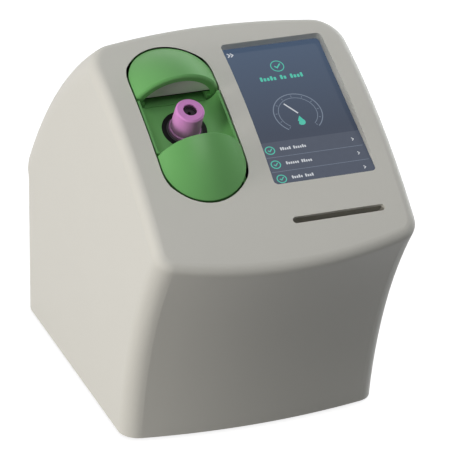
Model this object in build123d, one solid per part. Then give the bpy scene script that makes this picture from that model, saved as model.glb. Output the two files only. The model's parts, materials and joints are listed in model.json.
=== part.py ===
from build123d import *
import os
from math import asin, atan2, cos, degrees, hypot, pi, radians, sin, sqrt, tan

# Bench analyzer for the settling rate of red blood cells: a moulded cover with a bent control
# panel, a display, a card slot and a green rotor that takes one capped tube and tips it over.
# All sizes are in millimetres. X is to the right, Y to the rear and Z up.
# The origin is on the bench, under the middle of the body.

# Overall body.
WIDTH = 168.0
DEPTH = 271.4
FOOT_HEIGHT = 2.5
WALL = 3.0
REAR_Y = DEPTH / 2

# Side profile of the cover. The datum is a line just inside the rear face, at the cover's rim.
DATUM_Y = REAR_Y - 3.5
DATUM_Z = FOOT_HEIGHT
PANEL_R = 380.8
PANEL_CENTRE_BEHIND = 2.7
PANEL_CENTRE_DROP = 130.0
APRON_R = 320.0
APRON_FOOT_REACH = 211.4
LIP_REACH = 270.1
LIP_HEIGHT = 135.7
CROWN_R = 380.0
CROWN_CENTRE_AHEAD = 305.1
CROWN_CENTRE_DROP = 98.7

# How far each line of the cover bows back at the flanks, seen from above.
APRON_FOOT_BOW = 9.0
LIP_BOW = 8.7
LIP_RISE = 8.7
CROWN_BOW = 15.0
SECTION_OVERRUN = 1.02

# Rounded edges of the cover.
KINK_R = 20.0
FRONT_CORNER_R = 13.0
REAR_CORNER_R = 20.0
PANEL_EDGE_R = 7.0

# Clearances.
RUN_FIT = 0.05
BLOOD_FIT = 0.02
SLIDE_FIT = 0.1
SEAT_GAP = 0.4
MOVE_GAP = 0.8

# Base plate, feet and cover screws.
BASE_THICK = 3.0
BASE_TOP = FOOT_HEIGHT + BASE_THICK
FOOT_R = 7.0
FOOT_INSET = 26.0
FOOT_X = WIDTH / 2 - FOOT_INSET
FOOT_Y = (-58.0, 112.0)
BOSS_R = 4.0
BOSS_INSET = 8.5
BOSS_X = WIDTH / 2 - BOSS_INSET
BOSS_Y = (-58.0, 112.0)
BOSS_TOP = 40.0
SCREW_R = 1.5
SCREW_HEAD_R = 3.0
SCREW_HEAD = 1.6
SCREW_LENGTH = 12.0
VENT_LENGTH = 34.0
VENT_WIDTH = 3.0
VENT_PITCH = 7.0
VENT_COUNT = 5

# Display: opening in the panel, glass, module and what holds them.
DISPLAY_BAND = 11.8
DISPLAY_BORDER = 16.4
DISPLAY_TOP_ANGLE = 21.12
DISPLAY_LOW_ANGLE = 37.6
GLASS_TOP_RECESS = 5.0
GLASS_LOW_RECESS = 0.5
DISPLAY_CORNER_R = 3.0
GLASS_THICK = 3.0
GASKET_THICK = 0.6
COLLAR_WALL = 2.5
MODULE_SIDE_RIM = 4.4
MODULE_END_RIM = 5.0
MODULE_THICK = 5.0
BOARD_THICK = 1.6
CHIP_HEIGHT = 2.0
DISPLAY_BOSS_R = 3.2
DISPLAY_BOSS_INSET = 5.1
CLAMP_THICK = 1.5
CLAMP_RIM = 8.0

# Card slot and reader.
CARD_X = 35.65
CARD_ANGLE = 41.29
SLOT_WIDTH = 59.5
SLOT_HEIGHT = 4.2
READER_WIDTH = 65.0
READER_THICK = 9.0
READER_DEPTH = 62.0
CARD_WIDTH = 54.8
CARD_GAP = 1.4
CARD_DEPTH = 55.0
CARD_MOUTH_DEPTH = 5.0
READER_BOARD_DROP = 12.0
READER_BOARD_LENGTH = 44.0
READER_BOARD_INSET = 3.0

# Rotor: a crowned drum on a level axis under the panel, with a dome that stands proud of it.
ROTOR_MARGIN = 46.4
ROTOR_ANGLE = 29.44
ROTOR_R = 82.1
ROTOR_PROUD = 19.1
ROTOR_HALF = 26.4
ROTOR_STRAIGHT = 32.0
ROTOR_CROWN_R = 41.1
ROTOR_EDGE_R = 7.3
ROTOR_WALL = 2.5
CREST_R = 27.8
DOME_STEP = 0.2
DOME_FOOT_DROP = 13.0
DRUM_TOP_DROP = 11.0
DOME_END_SHARE = 0.7
ROLL_SINK = 0.2
DOME_STEPS = 12
ROTOR_X = ROTOR_MARGIN - WIDTH / 2
ROTOR_DEPTH = ROTOR_R - ROTOR_PROUD
LEFT_FLANK = ROTOR_X - ROTOR_HALF
RIGHT_FLANK = ROTOR_X + ROTOR_HALF
DISPLAY_LEFT = RIGHT_FLANK + MOVE_GAP + DISPLAY_BAND
DISPLAY_RIGHT = WIDTH / 2 - DISPLAY_BORDER
DISPLAY_X = (DISPLAY_LEFT + DISPLAY_RIGHT) / 2
DISPLAY_WIDTH = DISPLAY_RIGHT - DISPLAY_LEFT
MODULE_WIDTH = DISPLAY_WIDTH + 2 * MODULE_SIDE_RIM
DISPLAY_BOSS_X = DISPLAY_WIDTH / 2 - DISPLAY_BOSS_INSET

# Scoop in the rotor around the tube, measured from the panel and from the tube's axis.
SCOOP_LOW = -22.5
SCOOP_HIGH = 19.7
SCOOP_SIDE_DROP = 0.8
SCOOP_FLOOR_DROP = 10.5
SCOOP_HALF = 24.8
SCOOP_CORNER_R = 9.5
CAVE_HALF = 20.0
CAVE_ROOF_DROP = 5.8
CAVE_END = 40.0
CAVE_CORNER_R = 8.0
HOOD_CENTRE_DROP = 12.1
HOOD_RECESS = 3.4
HOOD_PLATE_THICK = 2.0
HOOD_PLATE_R = 23.6
HOOD_EDGE_R = 2.5
BELLY_EDGE_R = 2.0
COLUMN_WALL = 2.0
RIB_THICK = 2.5
WINDOW_R = 7.0
WINDOW_DEPTH = 15.0
SCOOP_FLOOR = ROTOR_DEPTH - SCOOP_FLOOR_DROP
CAVE_ROOF = ROTOR_DEPTH - CAVE_ROOF_DROP

# Sample tube, its closure and the adapter that holds it.
TUBE_R = 6.5
TUBE_WALL = 1.0
TUBE_LENGTH = 75.0
CAP_LENGTH = 19.1
CAP_OVER_TUBE = 7.1
CAP_TOP_R = 8.85
CAP_RIM_R = 9.85
CAP_RIM_HEIGHT = 2.2
CAP_HOLE_R = 4.25
CAP_BORE_R = 6.9
STOPPER_FLANGE = 3.6
STOPPER_PLUG = 6.6
BLOOD_DROP = 24.6
ADAPTER_R = 14.0
ADAPTER_FLOOR = 2.7
INSERT_R = 11.0
INSERT_DEPTH = 24.0
CAP_BOTTOM = SCOOP_FLOOR + SLIDE_FIT
CAP_TOP = CAP_BOTTOM + CAP_LENGTH
TUBE_TOP = CAP_TOP - CAP_OVER_TUBE
TUBE_BOTTOM = TUBE_TOP - TUBE_LENGTH
STOPPER_TOP = TUBE_TOP + STOPPER_FLANGE
STOPPER_BOTTOM = TUBE_TOP - STOPPER_PLUG
BLOOD_LEVEL = TUBE_TOP - BLOOD_DROP
ADAPTER_BOTTOM = TUBE_BOTTOM - SEAT_GAP - ADAPTER_FLOOR
COLUMN_END = ADAPTER_BOTTOM - ROTOR_WALL

# Rotor bearings, brackets and belt drive.
AXLE_R = 4.0
AXLE_FLANGE_R = 15.0
AXLE_FLANGE = 2.0
BEARING_R = 11.0
BEARING_WIDTH = 7.0
BEARING_SPACE = 2.2
PULLEY_SPACE = 4.2
BRACKET_THICK = 3.0
BRACKET_BOSS_R = 15.0
BRACKET_REACH = 28.0
BRACKET_BACK = 34.0
BELT_WIDTH = 6.0
TOOTH_PITCH = 5.0
TOOTH_DEPTH = 1.3
ROTOR_TEETH = 36
MOTOR_TEETH = 12
PULLEY_FLANGE = 1.0
BELT_THICK = 1.4
DRIVE_DISTANCE = 60.0
MOTOR_SIDE = 28.2
MOTOR_LENGTH = 32.0
MOTOR_PILOT_R = 11.0
MOTOR_SHAFT_R = 2.5

# Sampling needle under the rotor.
NEEDLE_LIFT = 32.0
NEEDLE_R = 0.75
NEEDLE_BORE_R = 0.4
NEEDLE_ROOM = 16.2
CARRIAGE_BOTTOM = 9.0
CARRIAGE_THICK = 8.0
CARRIAGE_HALF = 20.0
CARRIAGE_FRONT = 7.0
CARRIAGE_BACK = 43.0
FRAME_PLATE = 2.0
FRAME_HALF = 24.0
FRAME_FRONT = 12.0
FRAME_BACK = 48.0
ROD_R = 2.5
ROD_X = 15.0
ROD_BEHIND = 14.0
LEAD_SCREW_R = 3.0
LEAD_SCREW_BEHIND = 35.0
NUT_R = 6.0
WELL_R = 8.0
WELL_HEIGHT = 9.0
NEEDLE_MOTOR_R = 12.5
NEEDLE_MOTOR_HEIGHT = 13.0

# Wash pump on the right bracket.
PUMP_Y = 22.0
PUMP_Z = 74.0
PUMP_R = 20.0
PUMP_WIDTH = 18.0
PUMP_CAVITY_R = 18.0
PUMP_TUBE_R = 1.2
PUMP_TUBE_TRACK = 16.6
ROLLER_R = 4.0
ROLLER_TRACK = 11.0
ROLLER_COUNT = 3
PUMP_MOTOR_R = 12.0
PUMP_MOTOR_LENGTH = 30.0

# Optical read cell.
READ_X = -38.0
READ_Y = 58.0
READ_SIZE = (40.0, 26.0, 24.0)
CAPILLARY_R = 1.5

# Waste bottle.
BOTTLE_GAP = 6.0
BOTTLE_MARGIN = 15.0
BOTTLE_Y = 86.0
BOTTLE_DEPTH = 60.0
BOTTLE_HEIGHT = 78.0
BOTTLE_CORNER_R = 8.0
BOTTLE_WALL = 1.5
NECK_R = 12.0
NECK_HEIGHT = 10.0

# Circuit boards.
MAIN_BOARD_Z = 14.0
MAIN_BOARD_LENGTH = 96.0
MAIN_BOARD_Y = -2.0
MAIN_BOARD_MARGIN = 11.0
BRACKET_FOOT = 12.0
STANDOFF_R = 3.0
STANDOFF_INSET = 4.0

# Connectors in the rear wall.
PORTS_MARGIN = 5.0
PORTS_WIDTH = 72.0
PORTS_LOW = 14.0
PORTS_HEIGHT = 34.0
PORTS_CORNER_R = 3.0
REAR_PANEL_THICK = 2.0
REAR_PANEL_OVERLAP = 4.0
IO_BOARD_Z = 18.0
IO_BOARD_DEPTH = 34.0
PORTS_LEFT = REAR_CORNER_R + PORTS_MARGIN - WIDTH / 2
PORTS_RIGHT = PORTS_LEFT + PORTS_WIDTH
JACK_X = PORTS_LEFT + 7.0
SWITCH_X = PORTS_LEFT + 22.0
USB_X = PORTS_LEFT + 41.0
LAN_X = PORTS_LEFT + 61.0
BOTTLE_LEFT = PORTS_RIGHT + BOTTLE_GAP
BOTTLE_RIGHT = WIDTH / 2 - BOTTLE_MARGIN
BOTTLE_X = (BOTTLE_LEFT + BOTTLE_RIGHT) / 2
BOTTLE_WIDTH = BOTTLE_RIGHT - BOTTLE_LEFT


# Small helpers.

def block(low, high):
    """Box between two opposite corners."""
    size = [b - a for a, b in zip(low, high)]
    middle = [(a + b) / 2 for a, b in zip(low, high)]
    return Pos(*middle) * Box(*size)


def post(x, y, low, high, radius):
    """Upright round bar."""
    return Pos(x, y, (low + high) / 2) * Cylinder(radius, high - low)


def bar(y, z, left, right, radius):
    """Level round bar along X."""
    return Pos((left + right) / 2, y, z) * Rot(0, 90, 0) * Cylinder(radius, right - left)


def upright_edges(solid):
    return solid.edges().filter_by(Axis.Z)


def rounded_block(low, high, radius):
    """Box whose upright edges are rounded."""
    solid = block(low, high)
    return fillet(upright_edges(solid), radius)


def panel_point(angle, depth=0.0):
    """Point (y, z) under the control panel's profile, at an angle forward of straight up."""
    reach = PANEL_R - depth
    y = DATUM_Y + PANEL_CENTRE_BEHIND - reach * sin(radians(angle))
    z = DATUM_Z - PANEL_CENTRE_DROP + reach * cos(radians(angle))
    return y, z


def panel_place(x, angle, depth=0.0):
    """Frame on the control panel: its Z points out of the panel and its Y up the slope."""
    y, z = panel_point(angle, depth)
    return Pos(x, y, z) * Rot(angle, 0, 0)


# Moulded cover.

def arc_centre(foot, lip, radius):
    """Centre of the arc through two (y, z) points that bulges to the rear."""
    middle_y = (foot[0] + lip[0]) / 2
    middle_z = (foot[1] + lip[1]) / 2
    run = lip[0] - foot[0]
    rise = lip[1] - foot[1]
    chord = hypot(run, rise)
    reach = sqrt(radius ** 2 - chord ** 2 / 4)
    return middle_y - reach * rise / chord, middle_z + reach * run / chord


def arc_section(x, centre, radius, low_z, top_z, close_y):
    """Face at one X: an arc about centre, closed by straight lines to the line y = close_y."""
    start = asin((low_z - centre[1]) / radius)
    end = asin((top_z - centre[1]) / radius)
    ends = []
    for angle in (start, (start + end) / 2, end):
        ends.append((x, centre[0] + radius * cos(angle), centre[1] + radius * sin(angle)))
    foot, middle, top = ends
    far_top = (x, close_y, top[2])
    far_foot = (x, close_y, foot[2])
    arc = ThreePointArc(foot, middle, top)
    lines = [Line(top, far_top), Line(far_top, far_foot), Line(far_foot, foot)]
    return Face(Wire([arc.edge()] + [line.edge() for line in lines]))


def apron_section(share, inset, floor_z):
    """Section of the space behind the apron, at a share of the half width from the middle."""
    bow = share ** 2
    foot = (DATUM_Y - APRON_FOOT_REACH + APRON_FOOT_BOW * bow, DATUM_Z)
    lip = (DATUM_Y - LIP_REACH + LIP_BOW * bow, DATUM_Z + LIP_HEIGHT + LIP_RISE * bow)
    centre = arc_centre(foot, lip, APRON_R)
    x = share * WIDTH / 2 * SECTION_OVERRUN
    return arc_section(x, centre, APRON_R + inset, floor_z - 6, 245, REAR_Y + 30)


def crown_section(share, inset, floor_z):
    """Section of the space under the crown and ahead of the leaning rear."""
    centre_y = DATUM_Y - CROWN_CENTRE_AHEAD - CROWN_BOW * share ** 2
    centre = (centre_y, DATUM_Z - CROWN_CENTRE_DROP)
    radius = CROWN_R - inset
    top_z = centre[1] + radius * sin(radians(80))
    x = share * WIDTH / 2 * SECTION_OVERRUN
    return arc_section(x, centre, radius, floor_z - 6, top_z, DATUM_Y - 340)


def housing_form(inset, floor_z):
    """Solid form of the cover, moved inward by inset and open down to floor_z."""
    half = WIDTH / 2 - inset
    shares = (-1, -0.5, 0, 0.5, 1)
    drum_y, drum_z = panel_point(0, PANEL_R)
    form = Pos(0, drum_y, drum_z) * Rot(0, 90, 0) * Cylinder(PANEL_R - inset, 2 * half)
    form = form & block((-half, DATUM_Y - 330, floor_z), (half, REAR_Y - inset, floor_z + 300))
    form = form & loft([apron_section(share, inset, floor_z) for share in shares])
    form = form & loft([crown_section(share, inset, floor_z) for share in shares])
    return form


def is_flank_edge(edge, half):
    return abs(abs(edge.center().X) - half) < 0.01 and edge.length > 3


def soften(form, inset):
    """Round the cover's edges: rear kink, front corners, rear corners and the panel's outline."""
    half = WIDTH / 2 - inset
    rear = REAR_Y - inset

    def is_kink(edge):
        middle = edge.center()
        return abs(middle.Y - rear) < 0.5 and abs(middle.X) < 1 and middle.Z > LIP_HEIGHT / 2

    def is_front(edge):
        middle = edge.center()
        low = middle.Z < DATUM_Z + LIP_HEIGHT and middle.Y < 0
        return is_flank_edge(edge, half) and low and edge.length > LIP_HEIGHT / 2

    def is_rear(edge):
        middle = edge.center()
        steep = abs(edge.tangent_at(0.5).Z) > 0.3
        return is_flank_edge(edge, half) and middle.Y > DATUM_Y - 110 and steep and middle.Z > 20

    form = fillet([edge for edge in form.edges() if is_kink(edge)], KINK_R - inset)
    upright = [edge for edge in form.edges() if is_front(edge)]
    form = fillet([edge for edge in upright if abs(edge.tangent_at(0.5).Z) > 0.5], FRONT_CORNER_R - inset)
    form = fillet([edge for edge in form.edges() if is_rear(edge)], REAR_CORNER_R - inset)
    round_faces = form.faces().filter_by(GeomType.CYLINDER)
    panel = max(round_faces, key=lambda face: face.area)
    return fillet(panel.outer_wire().edges(), PANEL_EDGE_R - inset)


def panel_level(y):
    """Height of the panel in the rotor's own frame, at a distance y up or down its slope."""
    return ROTOR_DEPTH - PANEL_R + sqrt(PANEL_R ** 2 - y ** 2)


def rotor_drum_form(offset):
    """Crowned drum about the X axis, moved outward by offset.

    Its rim meets the bent panel in an outline with straight flanks and half-round ends, so that the
    pocket around it keeps the same gap while it turns.
    """
    half = ROTOR_HALF + offset
    reach = ROTOR_STRAIGHT + ROTOR_HALF
    rim_r = hypot(reach, panel_level(reach)) + offset
    crown_r = ROTOR_CROWN_R + offset
    edge_r = ROTOR_EDGE_R + offset
    side = half - edge_r
    rise = sqrt((crown_r - edge_r) ** 2 - side ** 2)
    share = crown_r / (crown_r - edge_r)
    edge_z = rim_r - crown_r + rise
    crown_end = (side * share, rim_r - crown_r + rise * share)
    turn = atan2(rise, side) / 2
    edge_middle = (side + edge_r * cos(turn), edge_z + edge_r * sin(turn))

    def left(point):
        return (-point[0], point[1])

    outline = [
        Line((-half, 0), (-half, edge_z)),
        ThreePointArc((-half, edge_z), left(edge_middle), left(crown_end)),
        ThreePointArc(left(crown_end), (0, rim_r), crown_end),
        ThreePointArc(crown_end, edge_middle, (half, edge_z)),
        Line((half, edge_z), (half, 0)),
        Line((half, 0), (-half, 0)),
    ]
    return revolve(make_face(outline), Axis.X, 360)


ROTOR_PLACE = panel_place(ROTOR_X, ROTOR_ANGLE, ROTOR_DEPTH)
ROTOR_Y = ROTOR_PLACE.position.Y
ROTOR_Z = ROTOR_PLACE.position.Z


def display_frame():
    """Frame on the display glass's top face, and the length of the opening in it."""
    top_y, top_z = panel_point(DISPLAY_TOP_ANGLE, GLASS_TOP_RECESS)
    low_y, low_z = panel_point(DISPLAY_LOW_ANGLE, GLASS_LOW_RECESS)
    tilt = degrees(atan2(top_z - low_z, top_y - low_y))
    place = Pos(DISPLAY_X, (top_y + low_y) / 2, (top_z + low_z) / 2) * Rot(tilt, 0, 0)
    return place, hypot(top_y - low_y, top_z - low_z)


DISPLAY_PLACE, DISPLAY_LENGTH = display_frame()
MODULE_LENGTH = DISPLAY_LENGTH + 2 * MODULE_END_RIM
MODULE_TOP = -GLASS_THICK
COLLAR_BOTTOM = MODULE_TOP + GASKET_THICK
CLAMP_TOP = MODULE_TOP - MODULE_THICK - BOARD_THICK
DISPLAY_BOSS_Y = MODULE_LENGTH / 2 + DISPLAY_BOSS_R + 1.0


def flat_box(place, width, length, low, high, corner=0.0):
    """Plate in a frame, centred on its Z axis, with rounded corners if given."""
    outline = RectangleRounded(width, length, corner) if corner else Rectangle(width, length)
    return place * Pos(0, 0, low) * extrude(outline, high - low)


def display_boss_spots():
    return [(x, y) for x in (-DISPLAY_BOSS_X, DISPLAY_BOSS_X) for y in (-DISPLAY_BOSS_Y, DISPLAY_BOSS_Y)]


def boss_spots():
    return [(x, y) for x in (-BOSS_X, BOSS_X) for y in BOSS_Y]


def cover():
    outer = soften(housing_form(0, FOOT_HEIGHT), 0)
    shell = outer - soften(housing_form(WALL, FOOT_HEIGHT - 1), WALL)

    collar = flat_box(DISPLAY_PLACE, DISPLAY_WIDTH + 2 * COLLAR_WALL, DISPLAY_LENGTH + 2 * COLLAR_WALL,
                      COLLAR_BOTTOM, 30, DISPLAY_CORNER_R + COLLAR_WALL)
    added = collar & outer
    for x, y in display_boss_spots():
        stud = DISPLAY_PLACE * Pos(x, y, (CLAMP_TOP + 20) / 2) * Cylinder(DISPLAY_BOSS_R, 20 - CLAMP_TOP)
        added += stud & outer
    for x, y in boss_spots():
        wall_x = (WIDTH / 2 - WALL / 2) * (1 if x > 0 else -1)
        web = block((min(x, wall_x), y - 1, BASE_TOP), (max(x, wall_x), y + 1, BOSS_TOP))
        added += post(x, y, BASE_TOP, BOSS_TOP, BOSS_R) + web
    shell = shell + added

    opening = flat_box(DISPLAY_PLACE, DISPLAY_WIDTH, DISPLAY_LENGTH, -20, 40, DISPLAY_CORNER_R)
    seat = flat_box(DISPLAY_PLACE, MODULE_WIDTH + 1, MODULE_LENGTH + 1, CLAMP_TOP, COLLAR_BOTTOM)
    slot = panel_place(CARD_X, CARD_ANGLE) * extrude(SlotOverall(SLOT_WIDTH, SLOT_HEIGHT), 20, both=True)
    pocket = ROTOR_PLACE * rotor_drum_form(MOVE_GAP)
    ports = Pos((PORTS_LEFT + PORTS_RIGHT) / 2, REAR_Y, PORTS_LOW + PORTS_HEIGHT / 2) * Rot(90, 0, 0)
    ports = ports * extrude(RectangleRounded(PORTS_WIDTH, PORTS_HEIGHT, PORTS_CORNER_R), 8, both=True)
    shell = shell - opening - seat - slot - pocket - ports
    for x, y in boss_spots():
        shell -= post(x, y, BASE_TOP - 1, BASE_TOP + SCREW_LENGTH + 2, SCREW_R)
    for x, y in display_boss_spots():
        shell -= DISPLAY_PLACE * Pos(x, y, CLAMP_TOP) * Cylinder(SCREW_R, 12)
    return shell


def base_plate():
    outline = housing_form(WALL + SEAT_GAP, FOOT_HEIGHT)
    plate = outline & block((-WIDTH, -DEPTH, FOOT_HEIGHT), (WIDTH, DEPTH, BASE_TOP))
    for side, corner_r in ((-1, FRONT_CORNER_R), (1, REAR_CORNER_R)):
        corners = [edge for edge in plate.edges() if abs(edge.tangent_at(0.5).Z) > 0.6
                   and edge.center().Y * side > 0]
        plate = fillet(corners, corner_r - WALL)
    for x, y in boss_spots():
        plate -= post(x, y, FOOT_HEIGHT - 1, BASE_TOP + 1, SCREW_R)
        plate -= post(x, y, FOOT_HEIGHT - 1, FOOT_HEIGHT + SCREW_HEAD, SCREW_HEAD_R)
    for index in range(VENT_COUNT):
        vent = SlotOverall(VENT_LENGTH, VENT_WIDTH)
        y = MAIN_BOARD_Y + (index - (VENT_COUNT - 1) / 2) * VENT_PITCH
        plate -= Pos((MAIN_BOARD_LEFT + MAIN_BOARD_RIGHT) / 2, y, FOOT_HEIGHT) * extrude(vent, 20, both=True)
    return plate


def feet():
    pads = []
    for x in (-FOOT_X, FOOT_X):
        for y in FOOT_Y:
            pad = post(x, y, 0, FOOT_HEIGHT, FOOT_R)
            pads.append(chamfer(pad.edges().group_by(Axis.Z)[0], 0.5))
    return Compound(children=pads)


def cover_screws():
    screws = []
    for x, y in boss_spots():
        shank = post(x, y, FOOT_HEIGHT + SCREW_HEAD, BASE_TOP + SCREW_LENGTH, SCREW_R)
        head = post(x, y, FOOT_HEIGHT, FOOT_HEIGHT + SCREW_HEAD, SCREW_HEAD_R)
        drive = Pos(x, y, FOOT_HEIGHT) * extrude(RegularPolygon(1.2, 6), 0.8)
        screws.append(shank + head - drive)
    return Compound(children=screws)


# Display.

def display_glass():
    return flat_box(DISPLAY_PLACE, DISPLAY_WIDTH - 2 * SLIDE_FIT, DISPLAY_LENGTH - 2 * SLIDE_FIT,
                    MODULE_TOP, 0, DISPLAY_CORNER_R - SLIDE_FIT)


def display_gasket():
    outer = flat_box(DISPLAY_PLACE, DISPLAY_WIDTH + 2 * COLLAR_WALL, DISPLAY_LENGTH + 2 * COLLAR_WALL,
                     MODULE_TOP, COLLAR_BOTTOM, DISPLAY_CORNER_R + COLLAR_WALL)
    inner = flat_box(DISPLAY_PLACE, DISPLAY_WIDTH, DISPLAY_LENGTH,
                     MODULE_TOP - 1, COLLAR_BOTTOM + 1, DISPLAY_CORNER_R)
    return outer - inner


def display_module():
    return flat_box(DISPLAY_PLACE, MODULE_WIDTH, MODULE_LENGTH, MODULE_TOP - MODULE_THICK, MODULE_TOP, 1.5)


def display_board():
    bottom = MODULE_TOP - MODULE_THICK
    board = flat_box(DISPLAY_PLACE, MODULE_WIDTH - 4, MODULE_LENGTH - 4, bottom - BOARD_THICK, bottom)
    chips = []
    for x, y, width, length in ((-12, 10, 14, 14), (12, 22, 10, 8), (8, -24, 24, 6)):
        place = DISPLAY_PLACE * Pos(x, y, 0)
        chips.append(flat_box(place, width, length, bottom - BOARD_THICK - CHIP_HEIGHT, bottom - BOARD_THICK))
    return board + chips


def display_clamp():
    """Sheet frame under the module, with ears that screw to the cover's bosses."""
    low = CLAMP_TOP - CLAMP_THICK
    rim = flat_box(DISPLAY_PLACE, MODULE_WIDTH, MODULE_LENGTH, low, CLAMP_TOP, 2)
    for x in (-DISPLAY_BOSS_X, DISPLAY_BOSS_X):
        ear = flat_box(DISPLAY_PLACE * Pos(x, 0, 0), 4 * DISPLAY_BOSS_R,
                       2 * (DISPLAY_BOSS_Y + DISPLAY_BOSS_R + 1), low, CLAMP_TOP, 2)
        rim += ear
    rim -= flat_box(DISPLAY_PLACE, MODULE_WIDTH - 2 * CLAMP_RIM, MODULE_LENGTH - 2 * CLAMP_RIM,
                    low - 1, CLAMP_TOP + 1, 4)
    for x, y in display_boss_spots():
        rim -= DISPLAY_PLACE * Pos(x, y, low) * Cylinder(SCREW_R, 10)
    return rim


def display_screws():
    low = CLAMP_TOP - CLAMP_THICK
    screws = []
    for x, y in display_boss_spots():
        place = DISPLAY_PLACE * Pos(x, y, 0)
        shank = place * Pos(0, 0, (low + CLAMP_TOP + 5) / 2) * Cylinder(SCREW_R, CLAMP_TOP + 5 - low)
        head = place * Pos(0, 0, low - SCREW_HEAD / 2) * Cylinder(SCREW_HEAD_R, SCREW_HEAD)
        screws.append(shank + head)
    return Compound(children=screws)


# Card reader.

CARD_PLACE = panel_place(CARD_X, CARD_ANGLE)


def card_reader():
    """Reader body behind the slot, with a flared mouth and a card channel."""
    top = -WALL - SEAT_GAP
    body = flat_box(CARD_PLACE, READER_WIDTH, READER_THICK, top - READER_DEPTH, top)
    body = chamfer(body.edges().filter_by(Axis.X), 1.0)
    channel = flat_box(CARD_PLACE, CARD_WIDTH, CARD_GAP, top - CARD_DEPTH, top + 1)
    mouth = loft([
        CARD_PLACE * Pos(0, 0, top) * Rectangle(SLOT_WIDTH, SLOT_HEIGHT),
        CARD_PLACE * Pos(0, 0, top - CARD_MOUTH_DEPTH) * Rectangle(CARD_WIDTH, CARD_GAP),
    ])
    return body - channel - mouth


def card_reader_board():
    top = -WALL - SEAT_GAP - READER_BOARD_DROP
    place = CARD_PLACE * Pos(0, -(READER_THICK + BOARD_THICK) / 2, 0)
    width = READER_WIDTH - 2 * READER_BOARD_INSET
    board = flat_box(place, width, BOARD_THICK, top - READER_BOARD_LENGTH, top)
    chip_place = place * Pos(0, -(BOARD_THICK + CHIP_HEIGHT) / 2, 0)
    return board + flat_box(chip_place, 12, CHIP_HEIGHT, top - 30, top - 18)


# Rotor and what rides in it. These are drawn about the rotor's centre, with Z out of the panel.

def dome_arc(turn, inset):
    """One arc of the dome, level in X: its x, half length, height at the ends and height at the crest."""
    half = ROTOR_HALF - DOME_STEP - inset
    x = half * sin(turn)
    reach = ROTOR_STRAIGHT + half * cos(turn)
    level = panel_level(reach) - inset * DOME_END_SHARE
    crest = ROTOR_R - CREST_R + sqrt((CREST_R - inset) ** 2 - x ** 2)
    return x, reach, level, crest


def dome_height(turn, y):
    """Height of the dome on one of its arcs, at a distance y from its middle."""
    x, reach, level, crest = dome_arc(turn, 0)
    centre = (reach ** 2 + level ** 2 - crest ** 2) / (2 * (level - crest))
    return centre + sqrt((crest - centre) ** 2 - y ** 2)


def dome_form(inset):
    """Smooth dome on top of the drum, with the drum's outline at the panel, moved inward by inset."""
    foot = ROTOR_DEPTH - DOME_FOOT_DROP
    sections = []
    for step in range(DOME_STEPS + 1):
        x, reach, level, crest = dome_arc(radians(180 * step / DOME_STEPS - 90), inset)
        arc = ThreePointArc((x, -reach, level), (x, 0, crest), (x, reach, level))
        corners = [(x, reach, level), (x, reach, foot), (x, -reach, foot), (x, -reach, level)]
        lines = [Line(a, b) for a, b in zip(corners, corners[1:])]
        sections.append(Face(Wire([arc.edge()] + [line.edge() for line in lines])))
    return loft(sections)


def rotor_form(inset):
    """Drum with the dome on it, moved inward by inset."""
    size = 2 * ROTOR_R
    below = block((-size, -size, -size), (size, size, ROTOR_DEPTH - DRUM_TOP_DROP))
    return (rotor_drum_form(-inset) & below) + dome_form(inset)


def scoop_cuts():
    """Spaces scooped out around the tube: shoulders, rounded channel, cave and hood recess."""
    wide = ROTOR_HALF + 5
    high = 2 * ROTOR_R
    shoulders = block((-wide, SCOOP_LOW, ROTOR_DEPTH - SCOOP_SIDE_DROP), (wide, SCOOP_HIGH, high))
    channel = block((-SCOOP_HALF, SCOOP_LOW, SCOOP_FLOOR), (SCOOP_HALF, SCOOP_HIGH, high))
    lower = channel.edges().filter_by(Axis.Y).group_by(Axis.Z)[0]
    channel = fillet(lower, SCOOP_CORNER_R)
    cave = block((-CAVE_HALF, SCOOP_HIGH - 1, SCOOP_FLOOR), (CAVE_HALF, CAVE_END, CAVE_ROOF))
    cave = fillet(upright_edges(cave).group_by(Axis.Y)[-1], CAVE_CORNER_R)
    plate_back = SCOOP_HIGH + HOOD_RECESS + HOOD_PLATE_THICK
    recess = hood_plate_form(SCOOP_HIGH - 1, plate_back, HOOD_PLATE_R)
    return shoulders, channel, cave, recess


def hood_plate_form(near, far, radius):
    """Half-round slab across the hood, above the cave's roof."""
    centre_z = ROTOR_DEPTH - HOOD_CENTRE_DROP
    slab = Pos(0, (near + far) / 2, centre_z) * Rot(90, 0, 0) * Cylinder(radius, far - near)
    return slab & block((-radius, near, CAVE_ROOF), (radius, far, CAVE_ROOF + 2 * radius))


def rolled_edge_cut(y, away, radius):
    """What is cut off to roll the dome's edge over the scoop. The dome lies on the away side of y."""
    half = ROTOR_HALF - DOME_STEP
    crest = dome_height(0, y)
    rise = crest - dome_height(radians(90), y)
    arch_r = (half ** 2 + rise ** 2) / (2 * rise)
    length = 2 * ROTOR_HALF
    coin = Pos(0, y + away * length / 2, crest - arch_r) * Rot(90, 0, 0) * Cylinder(arch_r - ROLL_SINK, length)
    near = [edge for edge in coin.edges().filter_by(GeomType.CIRCLE) if abs(edge.center().Y - y) < 0.01]
    coin = fillet(near, radius)
    ends = sorted((y - away, y + away * radius))
    slab = block((-length, ends[0], ROTOR_DEPTH - DRUM_TOP_DROP), (length, ends[1], 2 * ROTOR_R))
    return slab - coin


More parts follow.
